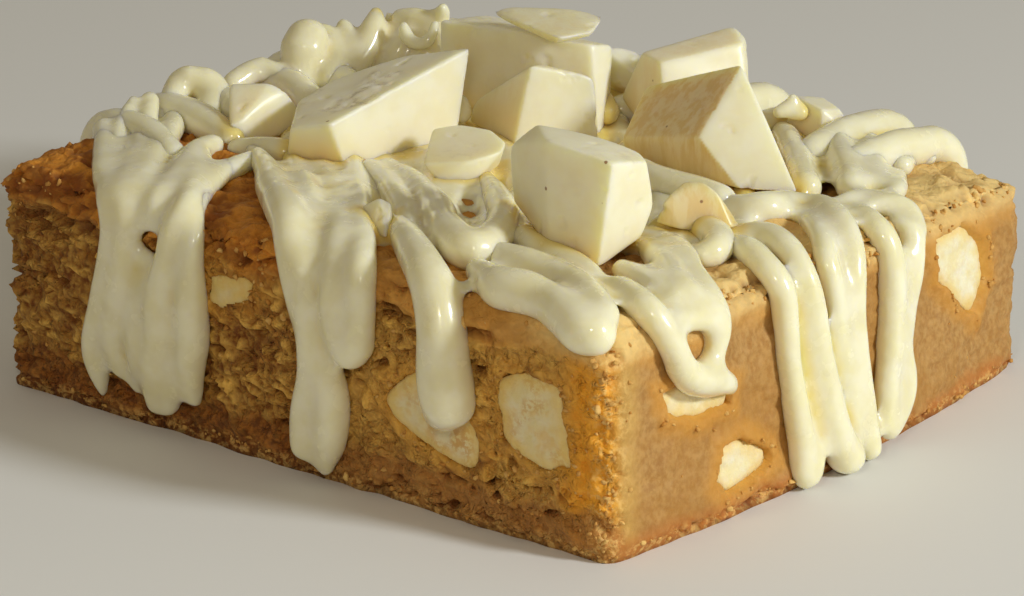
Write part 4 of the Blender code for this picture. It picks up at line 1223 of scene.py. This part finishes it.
def chunk_material():
    look = Look("white_chocolate")
    broken, edge, _ = look.masks("breaks")
    tan_and_shade, streak, painted_low_glow = look.masks("finish")
    fine = look.noise(0.45, 3.0, 0.65)
    upright = look.add("Mapping", Vector=look.place, Scale=(1.0, 1.0, 0.22)).outputs[0]
    brushed = look.noise(1.1, 4.0, 0.6, upright)
    patch = look.span(look.noise(3.4, 3.0, 0.5), 0.35, 0.68)
    # Painted shade, partly a real brushed film: yellow-brown on faces turned from the key light
    tanned_and_shaded = look.product(tan_and_shade, look.span(brushed, 0.4, 0.62, 0.6, 1.0))
    dust = look.product(broken, look.span(fine, 0.42, 0.62))
    brown = look.product(broken, look.span(look.noise(1.7, 5.0, 0.7), 0.48, 0.66))
    speck = look.span(look.cells(4.2), 0.06, 0.035)
    colour = look.tint(
        look.mix(patch, (241, 235, 208), (235, 226, 188)),
        # Painted glow low down on the chunk
        (painted_low_glow, 0.75, (238, 196, 76)),
        (tanned_and_shaded, 1.0, (212, 164, 20)),
        (dust, 0.5, (246, 239, 212)),
        (brown, 0.85, (150, 122, 76)),
        (edge, 0.35, (246, 240, 214)),
        (speck, 0.8, (126, 68, 24)))
    relief = look.bump(look.noise(2.2, 2.0, 0.5), 0.05, 0.3)
    relief = look.bump(brushed, look.span(streak, 0.0, 1.0, 0.0, 0.5), 0.25, relief)
    relief = look.bump(fine, look.span(broken, 0.0, 1.0, 0.03, 0.35), 0.12, relief)
    dullness = look.span(broken, 0.0, 1.0, 0.34, 0.68)
    return look.finish(
        Base_Color=colour, Roughness=dullness, Normal=relief,
        Specular_IOR_Level=0.45, Subsurface_Weight=0.85,
        Subsurface_Radius=(1.0, 0.95, 0.35), Subsurface_Scale=0.003)


def inset_material():
    look = Look("set_in_chocolate")
    rim, smear, tone = look.masks("smears_and_shade")
    patch = look.span(look.noise(2.2, 3.0), 0.35, 0.66)
    painted_golden_shade = look.product(tone, look.span(look.noise(3.4, 3.0), 0.48, 0.62))
    crumbs = look.product(smear, look.span(look.noise(0.5, 4.0, 0.65), 0.42, 0.56),
                            look.span(tone, 0.1, 0.35, 0.15, 1.0))
    # Painted shade: darker and yellower where the tone mask is set, with golden patches in it
    colour = look.tint(
        look.mix(patch, (238, 233, 206), (234, 222, 174)),
        (tone, 1.0, (214, 182, 96)),
        (painted_golden_shade, 1.0, (222, 168, 56)),
        (crumbs, 0.75, (204, 150, 72)),
        (rim, 0.6, (230, 192, 98)))
    relief = look.bump(look.noise(1.0, 4.0, 0.65), 0.6, 0.4)
    return look.finish(
        Base_Color=colour, Roughness=0.55, Normal=relief,
        Specular_IOR_Level=0.4, Subsurface_Weight=0.4,
        Subsurface_Radius=(1.0, 0.9, 0.35), Subsurface_Scale=0.0012)


# Floor, light and camera

def build_stage():
    bpy.ops.mesh.primitive_plane_add(size=FLOOR_SIZE)
    floor = bpy.context.object
    floor.name = "floor"
    look = Look("pale_floor")
    floor.data.materials.append(look.finish(Base_Color=FLOOR_COLOUR, Roughness=FLOOR_ROUGHNESS))


def add_lamp(name, direction, distance, size, power, colour):
    light = bpy.data.lights.new(name, "AREA")
    light.shape = "DISK"
    light.size = size
    light.energy = power
    light.color = colour
    lamp = new_object(name, light)
    direction = Vector(direction).normalized()
    lamp.location = direction * distance
    lamp.rotation_euler = direction.to_track_quat("Z", "Y").to_euler()


def build_light():
    world = bpy.data.worlds.new("studio")
    bpy.context.scene.world = world
    world.use_nodes = True
    background = world.node_tree.nodes["Background"]
    background.inputs["Color"].default_value = SKY_COLOUR
    background.inputs["Strength"].default_value = SKY_STRENGTH
    for name, lamp in LAMPS.items():
        add_lamp(name, **lamp)


def build_camera():
    lens = bpy.data.cameras.new("camera")
    lens.angle = FIELD_OF_VIEW
    lens.clip_start = 0.01
    camera = new_object("camera", lens)
    camera.location = Vector(CAMERA_PLACE) * MM
    camera.rotation_euler = (math.pi / 2 - CAMERA_DROP, 0.0, -CAMERA_AZIMUTH)
    bpy.context.scene.camera = camera


bpy.context.scene.view_settings.view_transform = "Standard"
cake, cake_masks, inset_skin = build_cake(cake_material())
build_crumbs(cake, cake_masks, inset_skin, crumb_material())
build_drizzle(drizzle_material())
build_chunks(chunk_material())
build_insets(inset_material())
build_stage()
build_light()
build_camera()
